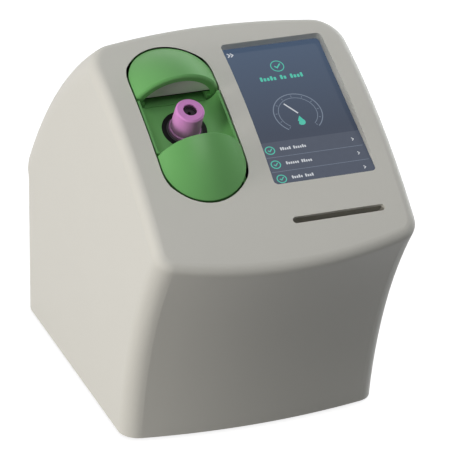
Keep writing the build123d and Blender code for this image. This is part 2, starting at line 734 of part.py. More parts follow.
def rotor_drum():
    """Moulded wheel: thin skin, scoop, tube column with ribs, and a window for the needle."""
    wide = 2 * ROTOR_HALF
    keep = block((-wide, SCOOP_LOW - ROTOR_WALL, SCOOP_FLOOR - ROTOR_WALL),
                 (wide, CAVE_END + ROTOR_WALL, 2 * ROTOR_R))
    hollow = rotor_form(ROTOR_WALL) - keep
    wheel = rotor_form(0)
    for cut in scoop_cuts():
        wheel -= cut
    wheel -= rolled_edge_cut(SCOOP_LOW, -1, BELLY_EDGE_R)
    wheel -= rolled_edge_cut(SCOOP_HIGH, 1, HOOD_EDGE_R)
    wheel -= hollow
    column = post(0, 0, COLUMN_END, SCOOP_FLOOR - 1, ADAPTER_R + COLUMN_WALL)
    rib = block((-ROTOR_HALF + 1, -RIB_THICK / 2, COLUMN_END), (ROTOR_HALF - 1, RIB_THICK / 2, SCOOP_FLOOR - 1))
    wheel = wheel + column + rib
    wheel -= post(0, 0, ADAPTER_BOTTOM, SCOOP_FLOOR + 1, ADAPTER_R)
    turned = Rot(-ROTOR_ANGLE, 0, 0) * Rot(0, 0, 90)
    wheel -= turned * post(0, 0, -ROTOR_R - 5, WINDOW_DEPTH - ROTOR_R, WINDOW_R)
    return ROTOR_PLACE * wheel


def hood_plate():
    near = SCOOP_HIGH + HOOD_RECESS
    plate = hood_plate_form(near, near + HOOD_PLATE_THICK, HOOD_PLATE_R)
    return ROTOR_PLACE * plate


def tube_adapter():
    """Black cup in the rotor's column."""
    cup = post(0, 0, ADAPTER_BOTTOM, SCOOP_FLOOR, ADAPTER_R)
    cup -= post(0, 0, SCOOP_FLOOR - INSERT_DEPTH, SCOOP_FLOOR + 1, INSERT_R)
    cup -= post(0, 0, TUBE_BOTTOM - SEAT_GAP, SCOOP_FLOOR, TUBE_R + SEAT_GAP)
    return ROTOR_PLACE * cup


def adapter_insert():
    """Soft ring that centres the tube in the adapter and carries the closure's rim."""
    ring = post(0, 0, SCOOP_FLOOR - INSERT_DEPTH, SCOOP_FLOOR - RUN_FIT, INSERT_R)
    ring -= post(0, 0, SCOOP_FLOOR - INSERT_DEPTH - 1, SCOOP_FLOOR + 1, TUBE_R + SEAT_GAP)
    return ROTOR_PLACE * ring


def test_tube(radius, low, high):
    """Round bar with a ball end at the bottom."""
    return post(0, 0, low + radius, high, radius) + Pos(0, 0, low + radius) * Sphere(radius)


def tube_glass():
    inner = TUBE_R - TUBE_WALL
    glass = test_tube(TUBE_R, TUBE_BOTTOM, TUBE_TOP)
    return ROTOR_PLACE * (glass - test_tube(inner, TUBE_BOTTOM + TUBE_WALL, TUBE_TOP + 1))


def blood_sample():
    radius = TUBE_R - TUBE_WALL - BLOOD_FIT
    return ROTOR_PLACE * test_tube(radius, TUBE_BOTTOM + TUBE_WALL + BLOOD_FIT, BLOOD_LEVEL)


def tube_stopper():
    plug = post(0, 0, STOPPER_BOTTOM, TUBE_TOP, TUBE_R - TUBE_WALL)
    flange = post(0, 0, TUBE_TOP, STOPPER_TOP, CAP_BORE_R)
    pierced = post(0, 0, STOPPER_BOTTOM - 1, STOPPER_TOP + 1, NEEDLE_R + SEAT_GAP)
    return ROTOR_PLACE * (plug + flange - pierced)


def tube_cap():
    """Closure: slightly tapered sleeve with a rim at its foot and a hole over the stopper."""
    outline = Polyline(
        (0, CAP_BOTTOM), (CAP_RIM_R, CAP_BOTTOM), (CAP_RIM_R, CAP_BOTTOM + CAP_RIM_HEIGHT),
        (CAP_TOP_R + 0.4, CAP_BOTTOM + CAP_RIM_HEIGHT + 0.6), (CAP_TOP_R, CAP_TOP - 1),
        (CAP_TOP_R - 1, CAP_TOP), (0, CAP_TOP), close=True,
    )
    sleeve = revolve(Plane.XZ * make_face(outline), Axis.Z, 360)
    sleeve -= post(0, 0, CAP_BOTTOM - 1, STOPPER_TOP, CAP_BORE_R)
    sleeve -= post(0, 0, CAP_BOTTOM, CAP_TOP + 1, CAP_HOLE_R)
    return ROTOR_PLACE * sleeve


# Rotor bearings and belt drive. X places are worked out from the rotor's flanks.

PULLEY_WIDTH = BELT_WIDTH + 2 * PULLEY_FLANGE + 1
PULLEY_LEFT = RIGHT_FLANK + AXLE_FLANGE
PULLEY_RIGHT = PULLEY_LEFT + PULLEY_WIDTH
BELT_X = PULLEY_LEFT + PULLEY_WIDTH / 2
DRIVE_Y = ROTOR_Y + DRIVE_DISTANCE
DRIVE_Z = ROTOR_Z
LEFT_BEARING_X = LEFT_FLANK - AXLE_FLANGE - BEARING_SPACE - BEARING_WIDTH
RIGHT_BEARING_X = PULLEY_RIGHT + PULLEY_SPACE
RIGHT_PLATE_X = RIGHT_BEARING_X + (BEARING_WIDTH - BRACKET_THICK) / 2
RIGHT_FACE_X = RIGHT_PLATE_X + BRACKET_THICK
MAIN_BOARD_LEFT = RIGHT_FACE_X + BRACKET_FOOT
MAIN_BOARD_RIGHT = WIDTH / 2 - MAIN_BOARD_MARGIN


def stub_axle_left():
    flange = bar(ROTOR_Y, ROTOR_Z, LEFT_FLANK - AXLE_FLANGE, LEFT_FLANK, AXLE_FLANGE_R)
    shaft = bar(ROTOR_Y, ROTOR_Z, LEFT_BEARING_X - 1, LEFT_FLANK - AXLE_FLANGE, AXLE_R)
    return flange + shaft


def stub_axle_right():
    flange = bar(ROTOR_Y, ROTOR_Z, RIGHT_FLANK, RIGHT_FLANK + AXLE_FLANGE, AXLE_FLANGE_R)
    end = RIGHT_BEARING_X + BEARING_WIDTH + 1
    shaft = bar(ROTOR_Y, ROTOR_Z, RIGHT_FLANK + AXLE_FLANGE, end, AXLE_R)
    return flange + shaft


def bearing(left):
    ring = bar(ROTOR_Y, ROTOR_Z, left, left + BEARING_WIDTH, BEARING_R)
    ring -= bar(ROTOR_Y, ROTOR_Z, left - 1, left + BEARING_WIDTH + 1, AXLE_R + RUN_FIT)
    groove = bar(ROTOR_Y, ROTOR_Z, left - 1, left + 0.6, BEARING_R - 2)
    groove -= bar(ROTOR_Y, ROTOR_Z, left - 1, left + 0.6, AXLE_R + 2)
    mirrored = Pos(BEARING_WIDTH + 0.4, 0, 0) * groove
    return ring - groove - mirrored


def toothed_pulley(teeth, bore_r):
    """Toothed belt pulley with flanges, about the X axis at its own centre."""
    outer_r = teeth * TOOTH_PITCH / (2 * pi) - 0.5
    gap = TOOTH_PITCH * 0.45
    wheel = Circle(outer_r)
    for index in range(teeth):
        angle = 360 * index / teeth
        wheel -= Rot(0, 0, angle) * Pos(outer_r, 0) * Rectangle(2 * TOOTH_DEPTH, gap)
    toothed = Rot(0, 90, 0) * extrude(wheel, PULLEY_WIDTH / 2, both=True)
    for side in (-1, 1):
        x = side * (PULLEY_WIDTH - PULLEY_FLANGE) / 2
        toothed += Pos(x, 0, 0) * Rot(0, 90, 0) * Cylinder(outer_r + BELT_THICK + 0.6, PULLEY_FLANGE)
    return toothed - Rot(0, 90, 0) * Cylinder(bore_r, 2 * PULLEY_WIDTH)


def rotor_pulley():
    return Pos(BELT_X, ROTOR_Y, ROTOR_Z) * toothed_pulley(ROTOR_TEETH, AXLE_R)


def motor_pulley():
    return Pos(BELT_X, DRIVE_Y, DRIVE_Z) * toothed_pulley(MOTOR_TEETH, MOTOR_SHAFT_R)


def belt_outline(extra):
    """Outline around both pulleys in the (Y, Z) plane, centred on the rotor pulley."""
    large = ROTOR_TEETH * TOOTH_PITCH / (2 * pi) - 0.5 + extra
    small = MOTOR_TEETH * TOOTH_PITCH / (2 * pi) - 0.5 + extra
    lean = asin((large - small) / DRIVE_DISTANCE)
    tangent = []
    for centre, radius in ((0, large), (DRIVE_DISTANCE, small)):
        tangent.append((centre + radius * sin(lean), radius * cos(lean)))
    near, far = tangent
    return make_face([
        Line(near, far),
        ThreePointArc(far, (DRIVE_DISTANCE + small, 0), (far[0], -far[1])),
        Line((far[0], -far[1]), (near[0], -near[1])),
        ThreePointArc((near[0], -near[1]), (-large, 0), near),
    ])


def rotor_belt():
    loop = belt_outline(SEAT_GAP + BELT_THICK) - belt_outline(SEAT_GAP)
    upright = Plane(origin=(BELT_X, ROTOR_Y, ROTOR_Z), x_dir=(0, 1, 0), z_dir=(1, 0, 0))
    return upright * extrude(loop, BELT_WIDTH / 2, both=True)


def motor_shaft():
    return bar(DRIVE_Y, DRIVE_Z, PULLEY_LEFT, RIGHT_FACE_X + MOTOR_LENGTH - 4, MOTOR_SHAFT_R)


def rotor_motor():
    """Square stepping motor with cut corners, a pilot in the bracket and a shaft bore."""
    body = Pos(RIGHT_FACE_X + MOTOR_LENGTH / 2, DRIVE_Y, DRIVE_Z) * Box(MOTOR_LENGTH, MOTOR_SIDE, MOTOR_SIDE)
    body = chamfer(body.edges().filter_by(Axis.X), 3)
    pilot = bar(DRIVE_Y, DRIVE_Z, RIGHT_PLATE_X, RIGHT_FACE_X, MOTOR_PILOT_R)
    bore = bar(DRIVE_Y, DRIVE_Z, RIGHT_PLATE_X - 1, RIGHT_FACE_X + MOTOR_LENGTH - 3, MOTOR_SHAFT_R + RUN_FIT)
    return body + pilot - bore


def rotor_bracket_left():
    """Plate with a bearing boss, bent outward at its foot."""
    left = LEFT_BEARING_X + (BEARING_WIDTH - BRACKET_THICK) / 2
    right = left + BRACKET_THICK
    front = ROTOR_Y - BRACKET_REACH
    back = ROTOR_Y + BRACKET_BACK
    plate = block((left, front, BASE_TOP), (right, back, ROTOR_Z))
    plate += bar(ROTOR_Y, ROTOR_Z, left, right, BRACKET_REACH)
    plate -= block((left - 1, ROTOR_Y - 14, BASE_TOP + 24), (right + 1, ROTOR_Y + 20, ROTOR_Z - 30))
    boss = bar(ROTOR_Y, ROTOR_Z, LEFT_BEARING_X, LEFT_BEARING_X + BEARING_WIDTH, BRACKET_BOSS_R)
    foot = block((right, front, BASE_TOP), (right + BRACKET_FOOT / 2, back, BASE_TOP + BRACKET_THICK))
    hole = bar(ROTOR_Y, ROTOR_Z, LEFT_BEARING_X - 1, LEFT_BEARING_X + BEARING_WIDTH + 1, BEARING_R)
    return plate + boss + foot - hole


def rotor_bracket_right():
    """Plate that carries the right bearing, the rotor motor and the pump."""
    left = RIGHT_PLATE_X
    right = RIGHT_FACE_X
    front = ROTOR_Y - BRACKET_REACH
    back = DRIVE_Y + MOTOR_SIDE / 2 + 3
    plate = block((left, front, BASE_TOP), (right, back, ROTOR_Z + 17))
    plate = fillet(plate.edges().filter_by(Axis.X).group_by(Axis.Z)[-1], 14)
    plate -= block((left - 1, front + 12, BASE_TOP + 16), (right + 1, PUMP_Y - 24, ROTOR_Z - 36))
    boss = bar(ROTOR_Y, ROTOR_Z, RIGHT_BEARING_X, RIGHT_BEARING_X + BEARING_WIDTH, BRACKET_BOSS_R)
    foot = block((right, front, BASE_TOP), (right + BRACKET_FOOT, back, BASE_TOP + BRACKET_THICK))
    hole = bar(ROTOR_Y, ROTOR_Z, RIGHT_BEARING_X - 1, RIGHT_BEARING_X + BEARING_WIDTH + 1, BEARING_R)
    pilot = bar(DRIVE_Y, DRIVE_Z, left - 1, right + 1, MOTOR_PILOT_R)
    pump = bar(PUMP_Y, PUMP_Z, left - 1, right + 1, ROLLER_TRACK)
    return plate + boss + foot - hole - pilot - pump


def home_sensor():
    """Reflective sensor on the left bracket, facing the rotor's flank."""
    plate_x = LEFT_BEARING_X + (BEARING_WIDTH + BRACKET_THICK) / 2
    y = ROTOR_Y + 22
    z = ROTOR_Z - 22
    return block((plate_x, y - 4, z - 5), (LEFT_FLANK - 1.5, y + 4, z + 5))


# Needle station under the rotor.

FRAME_TOP = ROTOR_Z - ROTOR_R - NEEDLE_ROOM
NEEDLE_TIP = FRAME_TOP + FRAME_PLATE + WELL_HEIGHT - 1.5


def needle_frame():
    """Bent sheet frame: two level plates and an upright back."""
    left = ROTOR_X - FRAME_HALF
    right = ROTOR_X + FRAME_HALF
    front = ROTOR_Y - FRAME_FRONT
    back = ROTOR_Y + FRAME_BACK
    floor = block((left, front, BASE_TOP), (right, back, BASE_TOP + FRAME_PLATE))
    roof = block((left, front, FRAME_TOP), (right, back, FRAME_TOP + FRAME_PLATE))
    web = block((left, back - FRAME_PLATE, BASE_TOP), (right, back, FRAME_TOP + FRAME_PLATE))
    frame = floor + roof + web
    screw_y = ROTOR_Y + LEAD_SCREW_BEHIND
    frame -= post(ROTOR_X, screw_y, FRAME_TOP - 1, FRAME_TOP + FRAME_PLATE + 1, LEAD_SCREW_R + SEAT_GAP)
    frame -= post(ROTOR_X, ROTOR_Y, FRAME_TOP - 1, FRAME_TOP + FRAME_PLATE + 1, WELL_R - 3)
    return frame


def guide_rods():
    y = ROTOR_Y + ROD_BEHIND
    return Compound(children=[post(ROTOR_X + side * ROD_X, y, BASE_TOP + FRAME_PLATE, FRAME_TOP, ROD_R)
                              for side in (-1, 1)])


def carriage():
    """Block that slides on the two rods and carries the needle and the nut."""
    low = CARRIAGE_BOTTOM
    high = CARRIAGE_BOTTOM + CARRIAGE_THICK
    body = block((ROTOR_X - CARRIAGE_HALF, ROTOR_Y - CARRIAGE_FRONT, low),
                 (ROTOR_X + CARRIAGE_HALF, ROTOR_Y + CARRIAGE_BACK, high))
    body = fillet(upright_edges(body), 4)
    for side in (-1, 1):
        body -= post(ROTOR_X + side * ROD_X, ROTOR_Y + ROD_BEHIND, low - 1, high + 1, ROD_R + SLIDE_FIT)
    body -= post(ROTOR_X, ROTOR_Y + LEAD_SCREW_BEHIND, low - 1, high + 1, NUT_R)
    return body - post(ROTOR_X, ROTOR_Y, low + 2, high + 1, NEEDLE_R)


def screw_nut():
    y = ROTOR_Y + LEAD_SCREW_BEHIND
    low = CARRIAGE_BOTTOM
    high = CARRIAGE_BOTTOM + CARRIAGE_THICK
    nut = post(ROTOR_X, y, low, high, NUT_R)
    return nut - post(ROTOR_X, y, low - 1, high + 1, LEAD_SCREW_R + SLIDE_FIT)


def needle():
    """Hollow needle with a slanted tip."""
    low = CARRIAGE_BOTTOM + 2
    body = post(ROTOR_X, ROTOR_Y, low, NEEDLE_TIP, NEEDLE_R)
    slant = Pos(ROTOR_X + 2 * NEEDLE_R, ROTOR_Y, NEEDLE_TIP) * Rot(0, 30, 0) * Box(4, 4, 4)
    return body - slant - post(ROTOR_X, ROTOR_Y, low - 1, NEEDLE_TIP + 1, NEEDLE_BORE_R)


def lead_screw():
    low = BASE_TOP + FRAME_PLATE + SEAT_GAP
    return post(ROTOR_X, ROTOR_Y + LEAD_SCREW_BEHIND, low, FRAME_TOP + FRAME_PLATE + 8, LEAD_SCREW_R)


def needle_motor():
    y = ROTOR_Y + LEAD_SCREW_BEHIND
    low = FRAME_TOP + FRAME_PLATE
    can = post(ROTOR_X, y, low, low + NEEDLE_MOTOR_HEIGHT, NEEDLE_MOTOR_R)
    ears = Pos(ROTOR_X, y, low) * extrude(SlotOverall(2 * NEEDLE_MOTOR_R + 14, 9), 1.2)
    return can + ears - post(ROTOR_X, y, low - 1, low + 9, LEAD_SCREW_R + SLIDE_FIT)


def wash_well():
    """Cup around the parked needle tip, with two hose stubs."""
    low = FRAME_TOP + FRAME_PLATE
    cup = post(ROTOR_X, ROTOR_Y, low, low + WELL_HEIGHT, WELL_R)
    cup -= Pos(ROTOR_X, ROTOR_Y, low + WELL_HEIGHT) * Cone(3, 5.5, 5)
    for near, far in ((-WELL_R - 6, 2 - WELL_R), (WELL_R - 2, WELL_R + 6)):
        cup += bar(ROTOR_Y, low + 4, ROTOR_X + near, ROTOR_X + far, 1.8)
    return cup - post(ROTOR_X, ROTOR_Y, low - 1, low + WELL_HEIGHT, NEEDLE_R + SEAT_GAP)


# Wash pump.

def pump_body():
    """Round pump head bolted to the bracket, open at its outer side to the motor."""
    left = RIGHT_FACE_X
    head = bar(PUMP_Y, PUMP_Z, left, left + PUMP_WIDTH, PUMP_R)
    lug = block((left, PUMP_Y - 6, PUMP_Z - PUMP_R - 6), (left + PUMP_WIDTH, PUMP_Y + 6, PUMP_Z))
    head += lug
    head -= bar(PUMP_Y, PUMP_Z, left + 2, left + PUMP_WIDTH - 2, PUMP_CAVITY_R)
    head -= bar(PUMP_Y, PUMP_Z, left - 1, left + PUMP_WIDTH + 1, MOTOR_SHAFT_R + SEAT_GAP)
    for side in (-1, 1):
        head -= pump_leg(side, PUMP_TUBE_R + 0.2, PUMP_Z - PUMP_R - 8)
    return head


def pump_leg(side, radius, low):
    """Straight hose run below the pump head."""
    x = RIGHT_FACE_X + PUMP_WIDTH / 2 + side * 3
    return post(x, PUMP_Y + side * 3, low, PUMP_Z - PUMP_CAVITY_R + 1, radius)


def pump_rotor():
    """Shaft and spider that carry the rollers."""
    left = RIGHT_FACE_X
    shaft = bar(PUMP_Y, PUMP_Z, left + 1, left + PUMP_WIDTH + PUMP_MOTOR_LENGTH - 4, MOTOR_SHAFT_R)
    spider = shaft
    for x in (left + 3, left + PUMP_WIDTH - 5):
        spider += bar(PUMP_Y, PUMP_Z, x, x + 2, ROLLER_TRACK + 3)
    for y, z in roller_spots():
        spider += bar(y, z, left + 4, left + PUMP_WIDTH - 4, 1.5)
    return spider


def roller_spots():
    spots = []
    for index in range(ROLLER_COUNT):
        angle = radians(90 + 360 * index / ROLLER_COUNT)
        spots.append((PUMP_Y + ROLLER_TRACK * cos(angle), PUMP_Z + ROLLER_TRACK * sin(angle)))
    return spots


def pump_rollers():
    low = RIGHT_FACE_X + 5
    high = RIGHT_FACE_X + PUMP_WIDTH - 5
    rollers = []
    for y, z in roller_spots():
        rollers.append(bar(y, z, low, high, ROLLER_R) - bar(y, z, low - 1, high + 1, 1.5))
    return Compound(children=rollers)


def pump_tube():
    """Hose bent round the pump head's track."""
    x = RIGHT_FACE_X + PUMP_WIDTH / 2
    half_gap = 25
    ring = Pos(x, PUMP_Y, PUMP_Z) * Rot(0, 90, 0) * Torus(PUMP_TUBE_TRACK, PUMP_TUBE_R)
    notch = block((x - 5, PUMP_Y - half_gap / 2, PUMP_Z - 30), (x + 5, PUMP_Y + half_gap / 2, PUMP_Z))
    return ring - notch


def pump_motor():
    left = RIGHT_FACE_X + PUMP_WIDTH
    can = bar(PUMP_Y, PUMP_Z, left, left + PUMP_MOTOR_LENGTH, PUMP_MOTOR_R)
    can = fillet(can.edges().group_by(Axis.X)[-1], 2)
    bore = bar(PUMP_Y, PUMP_Z, left - 1, left + PUMP_MOTOR_LENGTH - 3, MOTOR_SHAFT_R + RUN_FIT)
    flats = block((left - 1, PUMP_Y + 10, PUMP_Z - 20), (left + 60, PUMP_Y + 20, PUMP_Z + 20))
    return can - flats - bore


# Read cell.

def read_block():
    """Black optics block with a bore for the capillary and two sensor pockets."""
    width, depth, height = READ_SIZE
    z = BASE_TOP + height / 2
    body = Pos(READ_X, READ_Y, z) * Box(width, depth, height)
    body = chamfer(body.edges().filter_by(Axis.Z), 1.5)
    body -= bar(READ_Y, z, READ_X - width, READ_X + width, CAPILLARY_R)
    for x in (-10, 0, 10):
        body -= Pos(READ_X + x, READ_Y, BASE_TOP + height - 5) * Cylinder(2.5, 10.01)
    return body


def capillary():
    width, depth, height = READ_SIZE
    z = BASE_TOP + height / 2
    tube = bar(READ_Y, z, READ_X - width / 2 - 6, READ_X + width / 2 + 6, CAPILLARY_R)
    return tube - bar(READ_Y, z, READ_X - width, READ_X + width, CAPILLARY_R / 2)


def read_board():
    width, depth, height = READ_SIZE
    top = BASE_TOP + height
    board = block((READ_X - width / 2, READ_Y - depth / 2, top), (READ_X + width / 2, READ_Y + depth / 2,
                                                                 top + BOARD_THICK))
    for x in (-10, 0, 10):
        board += Pos(READ_X + x, READ_Y, top - 4) * Cylinder(2.4, 8)
    return board + block((READ_X - 8, READ_Y - 4, top + BOARD_THICK), (READ_X + 8, READ_Y + 4, top + 4))


# Waste bottle.

def waste_bottle():
    low = (BOTTLE_LEFT, BOTTLE_Y - BOTTLE_DEPTH / 2, BASE_TOP)
    high = (BOTTLE_RIGHT, BOTTLE_Y + BOTTLE_DEPTH / 2, BASE_TOP + BOTTLE_HEIGHT)
    outer = fillet(rounded_block(low, high, BOTTLE_CORNER_R).edges().group_by(Axis.Z)[-1], 5)
    inner_low = tuple(a + BOTTLE_WALL for a in low)
    inner_high = tuple(b - BOTTLE_WALL for b in high)
    outer += post(BOTTLE_X, BOTTLE_Y, high[2], high[2] + NECK_HEIGHT, NECK_R)
    outer -= rounded_block(inner_low, inner_high, BOTTLE_CORNER_R - BOTTLE_WALL)
    return outer - post(BOTTLE_X, BOTTLE_Y, inner_high[2] - 1, high[2] + NECK_HEIGHT + 1, NECK_R - BOTTLE_WALL)


def bottle_cap():
    """Screw cap with a hose hole."""
    neck_top = BASE_TOP + BOTTLE_HEIGHT + NECK_HEIGHT
    low = neck_top - NECK_HEIGHT + 2
    cap = post(BOTTLE_X, BOTTLE_Y, low, neck_top + 2, NECK_R + 2)
    cap = fillet(cap.edges().group_by(Axis.Z)[-1], 1)
    cap -= post(BOTTLE_X, BOTTLE_Y, low - 1, neck_top, NECK_R)
    return cap - post(BOTTLE_X, BOTTLE_Y, neck_top - 1, neck_top + 3, 2)


# Boards and connectors.

def board_corners():
    low = MAIN_BOARD_Y - MAIN_BOARD_LENGTH / 2 + STANDOFF_INSET
    high = MAIN_BOARD_Y + MAIN_BOARD_LENGTH / 2 - STANDOFF_INSET
    return [(x, y) for x in (MAIN_BOARD_LEFT + STANDOFF_INSET, MAIN_BOARD_RIGHT - STANDOFF_INSET)
            for y in (low, high)]


def main_board():
    x = (MAIN_BOARD_LEFT + MAIN_BOARD_RIGHT) / 2
    y = MAIN_BOARD_Y
    half = MAIN_BOARD_LENGTH / 2
    top = MAIN_BOARD_Z + BOARD_THICK
    board = block((MAIN_BOARD_LEFT, y - half, MAIN_BOARD_Z), (MAIN_BOARD_RIGHT, y + half, top))
    for corner_x, corner_y in board_corners():
        board -= post(corner_x, corner_y, MAIN_BOARD_Z - 1, top + 1, SCREW_R)
    parts = ((-8, 12, 16, 16, 2), (12, 20, 10, 14, 2), (-6, -24, 20, 8, 6), (14, -20, 8, 8, 9), (10, 2, 14, 5, 7))
    for dx, dy, across, along, tall in parts:
        board += block((x + dx - across / 2, y + dy - along / 2, top), (x + dx + across / 2, y + dy + along / 2,
                                                                      top + tall))
    return board


def board_standoffs():
    posts = []
    for x, y in board_corners():
        spacer = Pos(x, y, BASE_TOP) * extrude(RegularPolygon(STANDOFF_R, 6), MAIN_BOARD_Z - BASE_TOP)
        posts.append(spacer)
    return Compound(children=posts)


INNER_REAR = REAR_Y - WALL
PANEL_BACK = INNER_REAR - REAR_PANEL_THICK
IO_TOP = IO_BOARD_Z + BOARD_THICK


def port_hole(x, width, low, high):
    return block((x - width / 2, PANEL_BACK - 1, low), (x + width / 2, INNER_REAR + 1, high))


JACK_SIZE = (9.0, 14.0, 11.0)
USB_SIZE = (14.5, 17.0, 15.6)
LAN_SIZE = (16.0, 21.0, 13.4)
SWITCH_SIZE = (13.0, 14.0, 19.0)
SWITCH_BEZEL = 1.2
SWITCH_Z = IO_TOP + SWITCH_SIZE[2] / 2 + 2
SWITCH_AXIS_Y = INNER_REAR - 3.0
ROCKER_ANGLE = 12.0
ROCKER_REACH = 7.2
ROCKER_FACE = 3.6
ROCKER_HALF = 4.6


def rear_panel():
    left = PORTS_LEFT - REAR_PANEL_OVERLAP
    right = PORTS_RIGHT + REAR_PANEL_OVERLAP
    low = PORTS_LOW - REAR_PANEL_OVERLAP
    high = PORTS_LOW + PORTS_HEIGHT + REAR_PANEL_OVERLAP
    panel = block((left, PANEL_BACK, low), (right, INNER_REAR, high))
    for x, size in ((JACK_X, JACK_SIZE), (USB_X, USB_SIZE), (LAN_X, LAN_SIZE)):
        panel -= port_hole(x, size[0] + SLIDE_FIT, IO_TOP - SLIDE_FIT, IO_TOP + size[2] + SLIDE_FIT)
    half = SWITCH_SIZE[2] / 2
    return panel - port_hole(SWITCH_X, SWITCH_SIZE[0] + SLIDE_FIT, SWITCH_Z - half, SWITCH_Z + half)


def io_board():
    left = PORTS_LEFT + 1
    right = PORTS_RIGHT - 1
    back = PANEL_BACK - 0.5
    board = block((left, back - IO_BOARD_DEPTH, IO_BOARD_Z), (right, back, IO_TOP))
    chip = block((USB_X - 6, back - 32, IO_TOP), (USB_X + 6, back - 22, IO_TOP + 2))
    return board + chip


def port_body(x, size):
    return block((x - size[0] / 2, INNER_REAR + 0.4 - size[1], IO_TOP), (x + size[0] / 2, INNER_REAR + 0.4,
                                                                        IO_TOP + size[2]))


def power_jack():
    """Low-voltage inlet: a round bore with a pin in its middle."""
    mouth = INNER_REAR + 0.4
    z = IO_TOP + JACK_SIZE[2] / 2 + 0.5
    body = port_body(JACK_X, JACK_SIZE)
    body -= Pos(JACK_X, mouth, z) * Rot(90, 0, 0) * Cylinder(3.0, 20)
    pin = Pos(JACK_X, mouth - 6, z) * Rot(90, 0, 0) * Cylinder(1.0, 10)
    return body + pin


def usb_ports():
    """Two stacked data sockets with a tongue in each."""
    body = port_body(USB_X, USB_SIZE)
    mouth = INNER_REAR + 0.4
    for z in (IO_TOP + 4.2, IO_TOP + 11.4):
        socket = block((USB_X - 6.25, mouth - 12, z - 2.55), (USB_X + 6.25, mouth + 1, z + 2.55))
        tongue = block((USB_X - 5.5, mouth - 12.5, z), (USB_X + 5.5, mouth - 1, z + 1.9))
        body = body - socket + tongue
    return body


def lan_port():
    """Network socket with the notch for the plug's latch."""
    body = port_body(LAN_X, LAN_SIZE)
    mouth = INNER_REAR + 0.4
    body -= block((LAN_X - 5.9, mouth - 12, IO_TOP + 4), (LAN_X + 5.9, mouth + 1, IO_TOP + 11))
    return body - block((LAN_X - 3, mouth - 12, IO_TOP + 2), (LAN_X + 3, mouth + 1, IO_TOP + 4))


def switch_body():
    """Snap-in rocker switch frame."""
    width, depth, height = SWITCH_SIZE
    low_y = INNER_REAR - depth
    frame = block((SWITCH_X - width / 2, low_y, SWITCH_Z - height / 2), (SWITCH_X + width / 2, INNER_REAR,
                                                                      SWITCH_Z + height / 2))
    bezel = block((SWITCH_X - width / 2 - 1, INNER_REAR, SWITCH_Z - height / 2 - 1),
                  (SWITCH_X + width / 2 + 1, INNER_REAR + SWITCH_BEZEL, SWITCH_Z + height / 2 + 1))
    cavity = block((SWITCH_X - 5, low_y + 3, SWITCH_Z - 8), (SWITCH_X + 5, INNER_REAR + 2, SWITCH_Z + 8))
    return frame + bezel - cavity


def switch_rocker():
    """Rocker with a shallow V face, tilted so that its lower half is pressed in at rest."""
    reach = ROCKER_REACH
    dip = ROCKER_FACE - reach * tan(radians(ROCKER_ANGLE / 2))
    outline = Polyline(
        (-reach, -3), (-reach, ROCKER_FACE), (0, dip), (reach, ROCKER_FACE), (reach, -3), (3, -5), (-3, -5),
        close=True,
    )
    upright = Plane(origin=(0, 0, 0), x_dir=(0, 0, 1), z_dir=(-1, 0, 0))
    rocker = upright * extrude(make_face(outline), ROCKER_HALF, both=True)
    return Pos(SWITCH_X, SWITCH_AXIS_Y, SWITCH_Z) * Rot(-ROCKER_ANGLE / 2, 0, 0) * rocker


NODES = {
    "cover": cover,
    "base_plate": base_plate,
    "feet": feet,
    "cover_screws": cover_screws,
    "display_glass": display_glass,
    "display_gasket": display_gasket,
    "display_module": display_module,
    "display_board": display_board,
    "display_clamp": display_clamp,
    "display_screws": display_screws,
    "card_reader": card_reader,
    "card_reader_board": card_reader_board,
    "rotor_drum": rotor_drum,
    "hood_plate": hood_plate,
    "tube_adapter": tube_adapter,
    "adapter_insert": adapter_insert,
    "tube_glass": tube_glass,
    "blood_sample": blood_sample,
    "tube_stopper": tube_stopper,
    "tube_cap": tube_cap,
    "stub_axle_left": stub_axle_left,
    "stub_axle_right": stub_axle_right,
    "bearing_left": lambda: bearing(LEFT_BEARING_X),
    "bearing_right": lambda: bearing(RIGHT_BEARING_X),
    "rotor_bracket_left": rotor_bracket_left,
    "rotor_bracket_right": rotor_bracket_right,
    "rotor_pulley": rotor_pulley,
    "motor_pulley": motor_pulley,
    "motor_shaft": motor_shaft,
    "rotor_belt": rotor_belt,
    "rotor_motor": rotor_motor,
    "home_sensor": home_sensor,
    "needle_frame": needle_frame,
    "guide_rods": guide_rods,
    "carriage": carriage,
    "screw_nut": screw_nut,
    "needle": needle,
    "lead_screw": lead_screw,
    "needle_motor": needle_motor,
    "wash_well": wash_well,
    "pump_body": pump_body,
    "pump_rotor": pump_rotor,
    "pump_rollers": pump_rollers,
    "pump_tube": pump_tube,
    "pump_motor": pump_motor,
    "read_block": read_block,
    "capillary": capillary,
    "read_board": read_board,
    "waste_bottle": waste_bottle,
    "bottle_cap": bottle_cap,
    "main_board": main_board,
    "board_standoffs": board_standoffs,
    "rear_panel": rear_panel,
    "io_board": io_board,
    "power_jack": power_jack,
    "usb_ports": usb_ports,
    "lan_port": lan_port,
    "switch_body": switch_body,
    "switch_rocker": switch_rocker,
}

os.makedirs("parts", exist_ok=True)
for name, make in NODES.items():
    export_step(make(), f"parts/{name}.step")
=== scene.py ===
"""Looks of a bench analyzer for the settling rate of red blood cells.

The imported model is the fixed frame. This script gives every node its material, adds the display's
picture and the fine details, and sets up the floor, the lamps and the camera.
All sizes are in metres, X to the right, Y to the rear and Z up.
"""

import json
from math import asin, atan2, cos, degrees, hypot, pi, radians, sin

import bmesh
import bpy
from mathutils import Matrix, Vector


